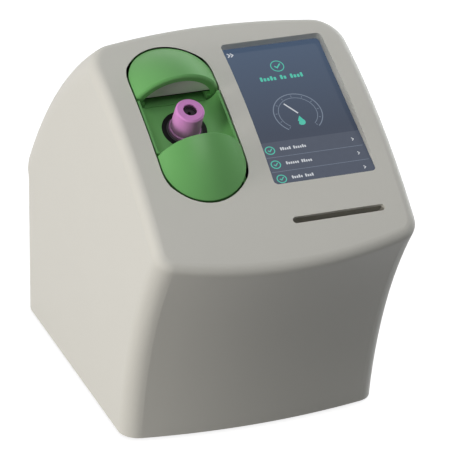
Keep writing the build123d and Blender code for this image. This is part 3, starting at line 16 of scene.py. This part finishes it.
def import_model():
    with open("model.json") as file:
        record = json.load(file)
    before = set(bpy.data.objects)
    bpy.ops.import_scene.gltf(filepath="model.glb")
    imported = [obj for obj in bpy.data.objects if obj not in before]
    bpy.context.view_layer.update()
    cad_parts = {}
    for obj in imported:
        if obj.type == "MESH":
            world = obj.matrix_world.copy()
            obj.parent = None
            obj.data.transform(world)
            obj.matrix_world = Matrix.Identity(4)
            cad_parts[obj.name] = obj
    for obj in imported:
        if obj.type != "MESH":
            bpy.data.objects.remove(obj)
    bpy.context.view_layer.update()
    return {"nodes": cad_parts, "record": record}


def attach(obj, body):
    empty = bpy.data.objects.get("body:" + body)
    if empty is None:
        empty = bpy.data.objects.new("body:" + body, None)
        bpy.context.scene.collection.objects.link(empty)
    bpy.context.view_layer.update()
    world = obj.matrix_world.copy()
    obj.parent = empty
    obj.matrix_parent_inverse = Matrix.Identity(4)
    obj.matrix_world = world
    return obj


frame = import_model()
nodes = frame["nodes"]

MM = 0.001

# Panel of the cover: an arc about a level axis, as in the model's source.
DATUM_Y = 132.2 * MM
DATUM_Z = 2.5 * MM
PANEL_R = 380.8 * MM
PANEL_CENTRE_Y = DATUM_Y + 2.7 * MM
PANEL_CENTRE_Z = DATUM_Z - 130.0 * MM
ROTOR_X = -37.6 * MM
ROTOR_ANGLE = 29.44
ROTOR_DEPTH = 63.0 * MM
DISPLAY_X = 34.5 * MM
DISPLAY_TOP_ANGLE = 21.12
DISPLAY_LOW_ANGLE = 37.6
GLASS_TOP_RECESS = 5.0 * MM
GLASS_LOW_RECESS = 0.5 * MM

# Camera of the photograph, fitted to the body's edges.
CAMERA_EYE = Vector((-0.6570, -1.7044, 0.9692))
CAMERA_AZIMUTH = 21.314
CAMERA_ELEVATION = 25.331
CAMERA_ROLL = 0.972
CAMERA_LENS = 256.36
SENSOR_WIDTH = 36.0
CAMERA_NEAR = 0.05
CAMERA_FAR = 20


# Frames on the instrument.

def panel_point(angle, depth=0.0):
    reach = PANEL_R - depth
    y = PANEL_CENTRE_Y - reach * sin(radians(angle))
    z = PANEL_CENTRE_Z + reach * cos(radians(angle))
    return y, z


def tilted(x, y, z, angle):
    """Frame whose Y runs up the panel's slope and whose Z points out of it."""
    return Matrix.Translation((x, y, z)) @ Matrix.Rotation(radians(angle), 4, "X")


def panel_frame(x, angle, depth=0.0):
    y, z = panel_point(angle, depth)
    return tilted(x, y, z, angle)


def display_frame():
    """Frame in the middle of the glass's top face, and the length of the opening."""
    top_y, top_z = panel_point(DISPLAY_TOP_ANGLE, GLASS_TOP_RECESS)
    low_y, low_z = panel_point(DISPLAY_LOW_ANGLE, GLASS_LOW_RECESS)
    angle = degrees(atan2(top_z - low_z, top_y - low_y))
    place = tilted(DISPLAY_X, (top_y + low_y) / 2, (top_z + low_z) / 2, angle)
    return place, hypot(top_y - low_y, top_z - low_z)


ROTOR_FRAME = panel_frame(ROTOR_X, ROTOR_ANGLE, ROTOR_DEPTH)
DISPLAY_FRAME, DISPLAY_LENGTH = display_frame()


# Materials.

# Scales of the noise patterns in object space, and the depths of their bumps.
CLOUD_SCALE = 14.0
GRAIN_SCALE = 900.0
WAVE_SCALE = 60.0
INK_SCALE = 300.0
GRAIN_DEPTH = 0.012 * MM
WAVE_DEPTH = 0.02 * MM
BRIGHT_SHARE = 0.6
GLOSS_SPREAD = 0.05
GLASS_IOR = 1.5

# Display: sRGB colours up its height, glow and roughness.
SCREEN_DARK = (20, 24, 30)
SCREEN_FOOT = (84, 88, 106)
SCREEN_MIDDLE = (74, 84, 104)
SCREEN_TOP = (88, 108, 136)
SCREEN_MIDDLE_AT = 0.35
SCREEN_GLOW = 0.62
SCREEN_ROUGH = 0.12
INK_ROUGH = 0.25
INK_DARK_SHARE = 0.92


class Nodes:
    """Short way to add shader nodes and join them."""

    def __init__(self, name):
        self.material = bpy.data.materials.new(name)
        self.material.use_nodes = True
        self.tree = self.material.node_tree
        self.shader = self.tree.nodes["Principled BSDF"]

    def add(self, kind, **inputs):
        node = self.tree.nodes.new(kind)
        for name, value in inputs.items():
            node.inputs[name.replace("_", " ")].default_value = value
        return node

    def join(self, out_node, out_name, in_node, in_name):
        self.tree.links.new(out_node.outputs[out_name], in_node.inputs[in_name])


def srgb(red, green, blue):
    """Linear colour from an sRGB colour of 0 to 255."""
    def linear(value):
        share = value / 255
        return share / 12.92 if share <= 0.04045 else ((share + 0.055) / 1.055) ** 2.4
    return (linear(red), linear(green), linear(blue), 1.0)


def shade(color, factor):
    return tuple(channel * factor for channel in color[:3]) + (1.0,)


def between(m, factor, first, second):
    """Colour that goes from the first to the second with a node's output."""
    tint = m.add("ShaderNodeMix")
    tint.data_type = "RGBA"
    # Sockets 6 and 7 and output 2 are the ones for colours.
    m.tree.links.new(factor, tint.inputs[0])
    tint.inputs[6].default_value = first
    tint.inputs[7].default_value = second
    return tint.outputs[2]


def moulded(name, color, rough, grain=0.35, variation=0.05, metallic=0.0, specular=0.3):
    """Moulded or finished surface: slightly uneven colour and gloss, with a fine grain in its bump."""
    m = Nodes(name)
    place = m.add("ShaderNodeTexCoord")
    cloud = m.add("ShaderNodeTexNoise", Scale=CLOUD_SCALE, Detail=3.0, Roughness=0.55)
    fine = m.add("ShaderNodeTexNoise", Scale=GRAIN_SCALE, Detail=2.0, Roughness=0.5)
    m.join(place, "Object", cloud, "Vector")
    m.join(place, "Object", fine, "Vector")
    dark = shade(color, 1 - variation)
    bright = shade(color, 1 + variation * BRIGHT_SHARE)
    tint = between(m, cloud.outputs["Fac"], dark, bright)
    m.tree.links.new(tint, m.shader.inputs["Base Color"])
    gloss = m.add("ShaderNodeMapRange", From_Min=0.2, From_Max=0.8,
                  To_Min=rough - GLOSS_SPREAD, To_Max=rough + GLOSS_SPREAD)
    m.join(fine, "Fac", gloss, "Value")
    m.join(gloss, "Result", m.shader, "Roughness")
    bump = m.add("ShaderNodeBump", Strength=grain, Distance=GRAIN_DEPTH)
    m.join(fine, "Fac", bump, "Height")
    m.join(bump, "Normal", m.shader, "Normal")
    m.shader.inputs["Metallic"].default_value = metallic
    m.shader.inputs["Specular IOR Level"].default_value = specular
    return m.material


def clear_glass(name, color):
    """Clear tube glass with faint waviness."""
    m = Nodes(name)
    place = m.add("ShaderNodeTexCoord")
    wave = m.add("ShaderNodeTexNoise", Scale=WAVE_SCALE, Detail=1.0)
    m.join(place, "Object", wave, "Vector")
    bump = m.add("ShaderNodeBump", Strength=0.05, Distance=WAVE_DEPTH)
    m.join(wave, "Fac", bump, "Height")
    m.join(bump, "Normal", m.shader, "Normal")
    m.shader.inputs["Base Color"].default_value = color
    m.shader.inputs["Transmission Weight"].default_value = 0.9
    m.shader.inputs["Roughness"].default_value = 0.05
    m.shader.inputs["IOR"].default_value = GLASS_IOR
    return m.material


def glowing(m, color, strength, rough):
    """Shader of a lit display: dark in itself, with a colour that glows."""
    m.tree.links.new(color, m.shader.inputs["Emission Color"])
    m.shader.inputs["Base Color"].default_value = srgb(*SCREEN_DARK)
    m.shader.inputs["Emission Strength"].default_value = strength
    m.shader.inputs["Roughness"].default_value = rough
    m.shader.inputs["Specular IOR Level"].default_value = 0.25
    return m.material


def screen_glass(name):
    """Lit display under glass: a slate-blue ground that gets darker towards the list at its foot."""
    m = Nodes(name)
    place = m.add("ShaderNodeTexCoord")
    apart = m.add("ShaderNodeSeparateXYZ")
    m.join(place, "Object", apart, "Vector")
    low = DISPLAY_FRAME @ Vector((0, -DISPLAY_LENGTH / 2, 0))
    top = DISPLAY_FRAME @ Vector((0, DISPLAY_LENGTH / 2, 0))
    height = m.add("ShaderNodeMapRange", From_Min=low.z, From_Max=top.z)
    m.join(apart, "Z", height, "Value")
    ramp = m.add("ShaderNodeValToRGB")
    ramp.color_ramp.elements[0].color = srgb(*SCREEN_FOOT)
    ramp.color_ramp.elements[1].color = srgb(*SCREEN_TOP)
    middle = ramp.color_ramp.elements.new(SCREEN_MIDDLE_AT)
    middle.color = srgb(*SCREEN_MIDDLE)
    m.join(height, "Result", ramp, "Fac")
    return glowing(m, ramp.outputs["Color"], SCREEN_GLOW, SCREEN_ROUGH)


def lit_ink(name, color, strength):
    """Lit sign on the display."""
    m = Nodes(name)
    place = m.add("ShaderNodeTexCoord")
    grid = m.add("ShaderNodeTexNoise", Scale=INK_SCALE, Detail=0.0)
    m.join(place, "Object", grid, "Vector")
    tint = between(m, grid.outputs["Fac"], shade(color, INK_DARK_SHARE), color)
    return glowing(m, tint, strength, INK_ROUGH)


# Name: sRGB colour, roughness and what differs from the usual moulded surface.
MOULDED = {
    "cover_plastic": ((214, 213, 206), 0.45, {"variation": 0.02}),
    "base_metal": ((78, 78, 80), 0.55, {}),
    "rubber": ((30, 30, 31), 0.75, {}),
    "foam": ((22, 22, 24), 0.85, {"grain": 0.8}),
    "black_plastic": ((14, 14, 15), 0.45, {"specular": 0.12}),
    "rotor_plastic": ((104, 167, 96), 0.38, {"variation": 0.03}),
    "grey_plastic": ((214, 219, 210), 0.5, {}),
    "cap_plastic": ((220, 146, 214), 0.4, {"variation": 0.03, "specular": 0.12}),
    "stopper_rubber": ((46, 40, 46), 0.6, {}),
    "blood": ((112, 14, 16), 0.2, {}),
    "bottle_plastic": ((222, 224, 220), 0.4, {}),
    "hose": ((206, 206, 198), 0.4, {}),
    "white_plastic": ((226, 226, 222), 0.45, {}),
    "steel": ((196, 198, 200), 0.28, {"metallic": 1.0}),
    "aluminium": ((206, 208, 210), 0.4, {"metallic": 1.0}),
    "motor_metal": ((44, 44, 46), 0.4, {}),
    "circuit_board": ((30, 92, 56), 0.4, {}),
    "insert_rubber": ((66, 64, 68), 0.6, {}),
    "panel_plastic": ((70, 70, 72), 0.5, {}),
    # The card reader's pale grey stands in for light reaching into the shaded slot: painted light.
    "reader_painted_light": ((166, 163, 154), 0.5, {}),
}
# Name: sRGB colour and strength of the glow.
INKS = {
    "ink_teal": ((84, 204, 180), 0.85),
    "ink_white": ((214, 218, 224), 0.85),
    "ink_line": ((126, 138, 156), 0.85),
    "ink_row": ((94, 102, 120), SCREEN_GLOW),
}

MATERIALS = {
    "screen_glass": screen_glass("screen_glass"),
    "tube_glass": clear_glass("tube_glass", srgb(236, 242, 242)),
}
for label, (tone, roughness, others) in MOULDED.items():
    MATERIALS[label] = moulded(label, srgb(*tone), roughness, **others)
for label, (tone, glow) in INKS.items():
    MATERIALS[label] = lit_ink(label, srgb(*tone), glow)


def dress(obj, material_name):
    obj.data.materials.clear()
    obj.data.materials.append(MATERIALS[material_name])


for part in frame["record"]["subparts"]:
    dress(nodes[part["node"]], part["material_slot"])
# Painted light: the card reader gets a pale grey so that the slot, which lies in shade, reads as a mid
# grey.
dress(nodes["card_reader"], "reader_painted_light")


# Picture on the display: thin closed plates on the glass, in millimetres from the middle of the glass.

PLATE_SINK = 0.01
GROUND_TOP = 0.03
SIGN_TOP = 0.08
ARC_STEPS = 40
FINE_STEPS = 2
# Shares: least cosine at a mitre, a drop's tip over its radius, and a letter's corner over its width.
MITRE_LEAST = 0.3
DROP_TIP = 2.1
LETTER_CORNER = 0.3


def new_piece(name, bm, material_name, body):
    bmesh.ops.recalc_face_normals(bm, faces=bm.faces)
    mesh = bpy.data.meshes.new(name)
    bm.to_mesh(mesh)
    bm.free()
    obj = bpy.data.objects.new(name, mesh)
    bpy.context.scene.collection.objects.link(obj)
    dress(obj, material_name)
    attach(obj, body)
    return obj


def plate(bm, place, outline, low, high):
    """Closed flat plate over an outline of (u, v) points."""
    bottom = [bm.verts.new(place @ Vector((u * MM, v * MM, low * MM))) for u, v in outline]
    top = [bm.verts.new(place @ Vector((u * MM, v * MM, high * MM))) for u, v in outline]
    bm.faces.new(top)
    bm.faces.new(bottom[::-1])
    count = len(outline)
    for index in range(count):
        after = (index + 1) % count
        bm.faces.new((bottom[index], bottom[after], top[after], top[index]))


def ring(bm, place, centre, outer, inner, low, high, start=0.0, sweep=360.0):
    """Closed flat ring, or part of one, about a point. Angles are in degrees from the u axis."""
    whole = sweep >= 360
    count = ARC_STEPS if whole else ARC_STEPS + 1
    rows = []
    for index in range(count):
        angle = radians(start + sweep * index / ARC_STEPS)
        row = []
        for radius, level in ((inner, low), (outer, low), (outer, high), (inner, high)):
            point = (centre[0] + radius * cos(angle), centre[1] + radius * sin(angle), level)
            row.append(bm.verts.new(place @ (Vector(point) * MM)))
        rows.append(row)
    for index in range(count if whole else count - 1):
        near = rows[index]
        far = rows[(index + 1) % count]
        for side in range(4):
            after = (side + 1) % 4
            bm.faces.new((near[side], near[after], far[after], far[side]))
    if not whole:
        bm.faces.new(rows[0])
        bm.faces.new(rows[-1][::-1])


def stroke(points, width):
    """Outline of a line of even width along points, with mitred corners."""
    half = width / 2
    left = []
    right = []
    for index, (u, v) in enumerate(points):
        ways = []
        if index > 0:
            ways.append(Vector(points[index]) - Vector(points[index - 1]))
        if index < len(points) - 1:
            ways.append(Vector(points[index + 1]) - Vector(points[index]))
        ways = [way.normalized() for way in ways]
        mean = sum(ways, Vector((0, 0))).normalized()
        reach = half / max(mean.dot(ways[0]), MITRE_LEAST)
        across = Vector((-mean.y, mean.x)) * reach
        left.append((u + across.x, v + across.y))
        right.append((u - across.x, v - across.y))
    return left + right[::-1]


def rounded(centre, width, height, radius, steps=5):
    """Outline of a rectangle with round corners."""
    outline = []
    for turn, (side_u, side_v) in enumerate(((1, 1), (-1, 1), (-1, -1), (1, -1))):
        middle_u = centre[0] + side_u * (width / 2 - radius)
        middle_v = centre[1] + side_v * (height / 2 - radius)
        for step in range(steps + 1):
            angle = radians(90 * turn + 90 * step / steps)
            outline.append((middle_u + radius * cos(angle), middle_v + radius * sin(angle)))
    return outline


def check_mark(centre, size):
    u, v = centre
    shares = ((-0.5, 0.02), (-0.14, -0.36), (0.52, 0.4))
    return [(u + across * size, v + along * size) for across, along in shares]


def chevron(centre, size):
    u, v = centre
    return [(u - 0.25 * size, v + 0.5 * size), (u + 0.25 * size, v), (u - 0.25 * size, v - 0.5 * size)]


def drop_outline(centre, radius, steps=24):
    """Outline of a drop with its tip up."""
    outline = []
    tip = DROP_TIP * radius
    reach = asin(radius / tip)
    for step in range(steps + 1):
        angle = reach - pi + (2 * pi - 2 * reach) * step / steps
        outline.append((centre[0] + radius * cos(angle), centre[1] + radius * sin(angle)))
    outline.append((centre[0], centre[1] + tip))
    return outline


def greeked(start, v, letters, height, step, ink):
    """Blocks in place of letters. Each number is a share of the height, and 0 is a gap between words."""
    outlines = []
    for index, share in enumerate(letters):
        if share:
            tall = height * share
            centre = (start + (index + 0.5) * step, v - height / 2 + tall / 2)
            outlines.append(rounded(centre, ink, tall, ink * LETTER_CORNER, FINE_STEPS))
    return outlines


GLASS_HALF = (33.0, 54.1)
GLASS_CORNER = 2.9
GLASS_CORNER_STEPS = 8
LIST_TOP = -21.9
ROW_LEVELS = (-28.0, -39.1, -50.2)
ROW_HEIGHT = 11.1
ROW_LINE = 0.28
ROW_LINE_MARGIN = 3
ROW_LINE_CORNER = 0.1
ROW_RING_U = -27.1
ROW_RING_RADII = (3.2, 2.55)
ROW_CHECK = (2.7, 0.65)
ROW_CHECK_SHIFT = 0.1
ROW_TEXT_U = -20.6
ROW_TEXT = (2.3, 1.42, 1.0)
ROW_TEXT_SHIFT = 0.2
ROW_CHEVRON_U = 26.8
ROW_CHEVRON = (2.2, 0.55)
HEAD_RING = (-0.4, 36.0)
HEAD_RING_RADII = (4.4, 3.85)
HEAD_CHECK = (-0.3, 36.1)
HEAD_CHECK_SIZE = (4.0, 0.85)
TITLE_PLACE = (-15.0, 27.0)
TITLE_TEXT = (3.4, 2.2, 1.55)
BACK_CHEVRONS = ((-28.0, 49.1), (-26.0, 49.1))
BACK_CHEVRON = (3.0, 0.75)
DIAL_CENTRE = (0, -2.5)
DIAL_RINGS = ((15.6, 15.0), (12.4, 12.0))
DIAL_START = -50
DIAL_SWEEP = 280
DIAL_TICKS = 11
TICK_ENDS = (13.0, 14.2)
TICK_WIDTH = 0.4
HAND_TIP = (-6.4, 6.0)
HAND_WIDTH = 0.9
DROP_CENTRE = (0, -9.6)
DROP_R = 2.4
TALL = 1.0
SHORT = 0.72
ROW_LETTERS = (
    (TALL, TALL, SHORT, SHORT, TALL, 0, TALL, SHORT, SHORT, SHORT, TALL, SHORT),
    (TALL, SHORT, SHORT, SHORT, SHORT, SHORT, 0, TALL, TALL, SHORT, SHORT, SHORT),
    (TALL, SHORT, SHORT, TALL, SHORT, 0, TALL, SHORT, SHORT, TALL),
)
TITLE_LETTERS = (TALL, SHORT, SHORT, TALL, SHORT, 0, TALL, SHORT, 0, TALL, SHORT, SHORT, TALL)


def display_picture():
    """List with check marks at the foot, a dial with a drop in the middle and a title at the top."""
    place = DISPLAY_FRAME
    low = -PLATE_SINK
    half_u, half_v = GLASS_HALF

    rows = bmesh.new()
    outline = [(half_u, LIST_TOP), (-half_u, LIST_TOP)]
    glass = rounded((0, 0), 2 * half_u, 2 * half_v, GLASS_CORNER, GLASS_CORNER_STEPS)
    outline += [(u, v) for u, v in glass if v < 0]
    plate(rows, place, outline, low, GROUND_TOP)
    new_piece("display_list", rows, "ink_row", "root")

    lines = bmesh.new()
    for level in ROW_LEVELS[:2]:
        centre = (0, level - ROW_HEIGHT / 2)
        length = 2 * half_u - ROW_LINE_MARGIN
        outline = rounded(centre, length, ROW_LINE, ROW_LINE_CORNER, FINE_STEPS)
        plate(lines, place, outline, low, SIGN_TOP)
    for radii in DIAL_RINGS:
        ring(lines, place, DIAL_CENTRE, *radii, low, SIGN_TOP, DIAL_START, DIAL_SWEEP)
    for tick in range(DIAL_TICKS):
        angle = radians(DIAL_START + DIAL_SWEEP / (DIAL_TICKS - 1) * tick)
        ends = [(DIAL_CENTRE[0] + r * cos(angle), DIAL_CENTRE[1] + r * sin(angle)) for r in TICK_ENDS]
        plate(lines, place, stroke(ends, TICK_WIDTH), low, SIGN_TOP)
    new_piece("display_lines", lines, "ink_line", "root")

    teal = bmesh.new()
    size, width = HEAD_CHECK_SIZE
    ring(teal, place, HEAD_RING, *HEAD_RING_RADII, low, SIGN_TOP)
    plate(teal, place, stroke(check_mark(HEAD_CHECK, size), width), low, SIGN_TOP)
    for outline in greeked(*TITLE_PLACE, TITLE_LETTERS, *TITLE_TEXT):
        plate(teal, place, outline, low, SIGN_TOP)
    size, width = ROW_CHECK
    for level in ROW_LEVELS:
        ring(teal, place, (ROW_RING_U, level), *ROW_RING_RADII, low, SIGN_TOP)
        centre = (ROW_RING_U + ROW_CHECK_SHIFT, level + ROW_CHECK_SHIFT)
        plate(teal, place, stroke(check_mark(centre, size), width), low, SIGN_TOP)
    new_piece("display_teal", teal, "ink_teal", "root")

    white = bmesh.new()
    size, width = BACK_CHEVRON
    for centre in BACK_CHEVRONS:
        plate(white, place, stroke(chevron(centre, size), width), low, SIGN_TOP)
    size, width = ROW_CHEVRON
    for level, letters in zip(ROW_LEVELS, ROW_LETTERS):
        for outline in greeked(ROW_TEXT_U, level + ROW_TEXT_SHIFT, letters, *ROW_TEXT):
            plate(white, place, outline, low, SIGN_TOP)
        plate(white, place, stroke(chevron((ROW_CHEVRON_U, level), size), width), low, SIGN_TOP)
    plate(white, place, stroke([DIAL_CENTRE, HAND_TIP], HAND_WIDTH), low, SIGN_TOP)
    new_piece("display_white", white, "ink_white", "root")

    drop = bmesh.new()
    plate(drop, place, drop_outline(DROP_CENTRE, DROP_R), low, SIGN_TOP)
    new_piece("display_drop", drop, "ink_teal", "root")


display_picture()


# Fine details on the closure, and a strip of painted shade on the rotor, in millimetres in the rotor's
# frame.

def torus(bm, place, height, major, minor, steps=48, sides=10):
    """Round ring about the frame's Z axis."""
    rows = []
    for step in range(steps):
        turn = 2 * pi * step / steps
        row = []
        for side in range(sides):
            angle = 2 * pi * side / sides
            reach = major + minor * cos(angle)
            point = Vector((reach * cos(turn), reach * sin(turn), height + minor * sin(angle)))
            row.append(bm.verts.new(place @ (point * MM)))
        rows.append(row)
    for step in range(steps):
        near = rows[step]
        far = rows[(step + 1) % steps]
        for side in range(sides):
            after = (side + 1) % sides
            face = bm.faces.new((near[side], near[after], far[after], far[side]))
            face.smooth = True


CAP_TOP = 71.7
CAP_HOLE_R = 4.25
BORE_RING_DEPTHS = (1.5, 2.7)
BORE_RING_R = 0.32
# Dark strip of painted shade under the hood's plate, standing for the shadow in the gap below the plate.
HOOD_SHADE_Y = 23.1
HOOD_SHADE_Z = 57.2
HOOD_SHADE_HALF = 23.1
HOOD_SHADE_WIDTH = 0.7
HOOD_SHADE_CORNER = 0.2
HOOD_SHADE_SINK = 0.3
HOOD_SHADE_PROUD = 0.2


def fine_details():
    """Two rings in the closure's bore, and a dark strip of painted shade under the hood's plate, where
    the gap below the plate lies in shadow.
    """
    rings = bmesh.new()
    for depth in BORE_RING_DEPTHS:
        torus(rings, ROTOR_FRAME, CAP_TOP - depth, CAP_HOLE_R, BORE_RING_R)
    new_piece("cap_bore_rings", rings, "stopper_rubber", "tube")

    # Painted shade: a thin dark strip along the plate's lower edge, in place of the shadow in the gap
    # there.
    line = bmesh.new()
    spot = Matrix.Translation((0, HOOD_SHADE_Y * MM, HOOD_SHADE_Z * MM))
    upright = ROTOR_FRAME @ spot @ Matrix.Rotation(pi / 2, 4, "X")
    centre = (0, HOOD_SHADE_WIDTH / 2)
    outline = rounded(centre, 2 * HOOD_SHADE_HALF, HOOD_SHADE_WIDTH, HOOD_SHADE_CORNER, FINE_STEPS)
    plate(line, upright, outline, -HOOD_SHADE_SINK, HOOD_SHADE_PROUD)
    new_piece("hood_painted_shade", line, "black_plastic", "rotor")


fine_details()


# Floor, lamps and camera.

FLOOR_HALF = 6.0
FLOOR_COLOR = (0.1, 0.1, 0.1, 1)
FLOOR_ROUGH = 0.9
SEEN_GLOW = 0.86
GLOW_NEAR = 0.4
GLOW_FAR = 1.4
SEEN_SHADE = (0.4, 0.4, 0.4, 1)
WHITE = (1, 1, 1)
WARM = (1.0, 0.965, 0.92)
COOL = (0.9, 0.94, 1.0)
WORLD_STRENGTH = 0.15
LAMP_TARGET = Vector((0, 0, 0.12))

# Name, place, size, power, colour and whether glossy surfaces show the lamp.
LAMPS = (
    ("left", (-2.0, 0.0, 0.5), 1.4, 12, WARM, False),
    ("left_low", (-2.0, -0.4, 0.15), 0.6, 27, WARM, False),
    ("top_front", (0.1, -1.1, 2.1), 1.2, 17, WHITE, True),
    ("top_left", (-0.6, 0.3, 2.1), 1.2, 2, WHITE, True),
    ("right_rear", (1.7, 1.1, 0.6), 1.2, 36, COOL, False),
)


def seen_share(tree):
    """Factor that is 1 for rays that show the background: camera, glossy and transmission rays."""
    path = tree.nodes.new("ShaderNodeLightPath")
    total = path.outputs["Is Camera Ray"]
    for name in ("Is Glossy Ray", "Is Transmission Ray"):
        more = tree.nodes.new("ShaderNodeMath")
        more.operation = "MAXIMUM"
        tree.links.new(total, more.inputs[0])
        tree.links.new(path.outputs[name], more.inputs[1])
        total = more.outputs["Value"]
    return total


def floor():
    """White floor that keeps the object's shadow, and that lights the object as a dark grey one."""
    mesh = bpy.data.meshes.new("floor")
    corners = [(x * FLOOR_HALF, y * FLOOR_HALF, 0) for x, y in ((-1, -1), (1, -1), (1, 1), (-1, 1))]
    mesh.from_pydata(corners, [], [(0, 1, 2, 3)])
    obj = bpy.data.objects.new("floor", mesh)
    bpy.context.scene.collection.objects.link(obj)
    m = Nodes("floor_white")
    m.shader.inputs["Base Color"].default_value = FLOOR_COLOR
    m.shader.inputs["Roughness"].default_value = FLOOR_ROUGH
    place = m.add("ShaderNodeTexCoord")
    reach = m.add("ShaderNodeVectorMath")
    reach.operation = "LENGTH"
    m.tree.links.new(place.outputs["Object"], reach.inputs[0])
    rise = m.add("ShaderNodeMapRange", From_Min=GLOW_NEAR, From_Max=GLOW_FAR,
                 To_Min=SEEN_GLOW, To_Max=1.0)
    m.join(reach, "Value", rise, "Value")
    glow = m.add("ShaderNodeEmission", Color=WHITE + (1,))
    m.join(rise, "Result", glow, "Strength")
    shade_part = m.add("ShaderNodeBsdfDiffuse", Color=SEEN_SHADE)
    seen = m.add("ShaderNodeAddShader")
    m.tree.links.new(glow.outputs["Emission"], seen.inputs[0])
    m.tree.links.new(shade_part.outputs["BSDF"], seen.inputs[1])
    blend = m.add("ShaderNodeMixShader")
    m.tree.links.new(seen_share(m.tree), blend.inputs["Fac"])
    m.tree.links.new(m.shader.outputs["BSDF"], blend.inputs[1])
    m.tree.links.new(seen.outputs["Shader"], blend.inputs[2])
    m.tree.links.new(blend.outputs["Shader"], m.tree.nodes["Material Output"].inputs["Surface"])
    obj.data.materials.append(m.material)


def world():
    scene = bpy.context.scene
    scene.world = bpy.data.worlds.new("studio")
    scene.world.use_nodes = True
    tree = scene.world.node_tree
    ground = tree.nodes["Background"]
    ground.inputs["Color"].default_value = WHITE + (1,)
    ground.inputs["Strength"].default_value = WORLD_STRENGTH
    seen = tree.nodes.new("ShaderNodeBackground")
    seen.inputs["Color"].default_value = WHITE + (1,)
    seen.inputs["Strength"].default_value = 1.0
    blend = tree.nodes.new("ShaderNodeMixShader")
    tree.links.new(seen_share(tree), blend.inputs["Fac"])
    tree.links.new(ground.outputs["Background"], blend.inputs[1])
    tree.links.new(seen.outputs["Background"], blend.inputs[2])
    tree.links.new(blend.outputs["Shader"], tree.nodes["World Output"].inputs["Surface"])


def lamp(name, position, size, power, color, in_gloss):
    data = bpy.data.lights.new(name, "AREA")
    data.size = size
    data.energy = power
    data.color = color
    obj = bpy.data.objects.new(name, data)
    obj.visible_camera = False
    obj.visible_glossy = in_gloss
    obj.location = position
    way = LAMP_TARGET - Vector(position)
    obj.rotation_euler = way.to_track_quat("-Z", "Y").to_euler()
    bpy.context.scene.collection.objects.link(obj)


def camera():
    azimuth = radians(CAMERA_AZIMUTH)
    elevation = radians(CAMERA_ELEVATION)
    look = Vector((sin(azimuth) * cos(elevation), cos(azimuth) * cos(elevation), -sin(elevation)))
    level = Vector((cos(azimuth), -sin(azimuth), 0))
    up = level.cross(look)
    roll = radians(CAMERA_ROLL)
    right = cos(roll) * level + sin(roll) * up
    above = -sin(roll) * level + cos(roll) * up
    data = bpy.data.cameras.new("camera")
    data.lens = CAMERA_LENS
    data.sensor_width = SENSOR_WIDTH
    data.clip_start = CAMERA_NEAR
    data.clip_end = CAMERA_FAR
    obj = bpy.data.objects.new("camera", data)
    turn = Matrix((right, above, -look)).transposed()
    obj.matrix_world = Matrix.Translation(CAMERA_EYE) @ turn.to_4x4()
    bpy.context.scene.collection.objects.link(obj)
    bpy.context.scene.camera = obj


camera()
floor()
world()
for settings in LAMPS:
    lamp(*settings)
bpy.context.scene.view_settings.view_transform = "Standard"
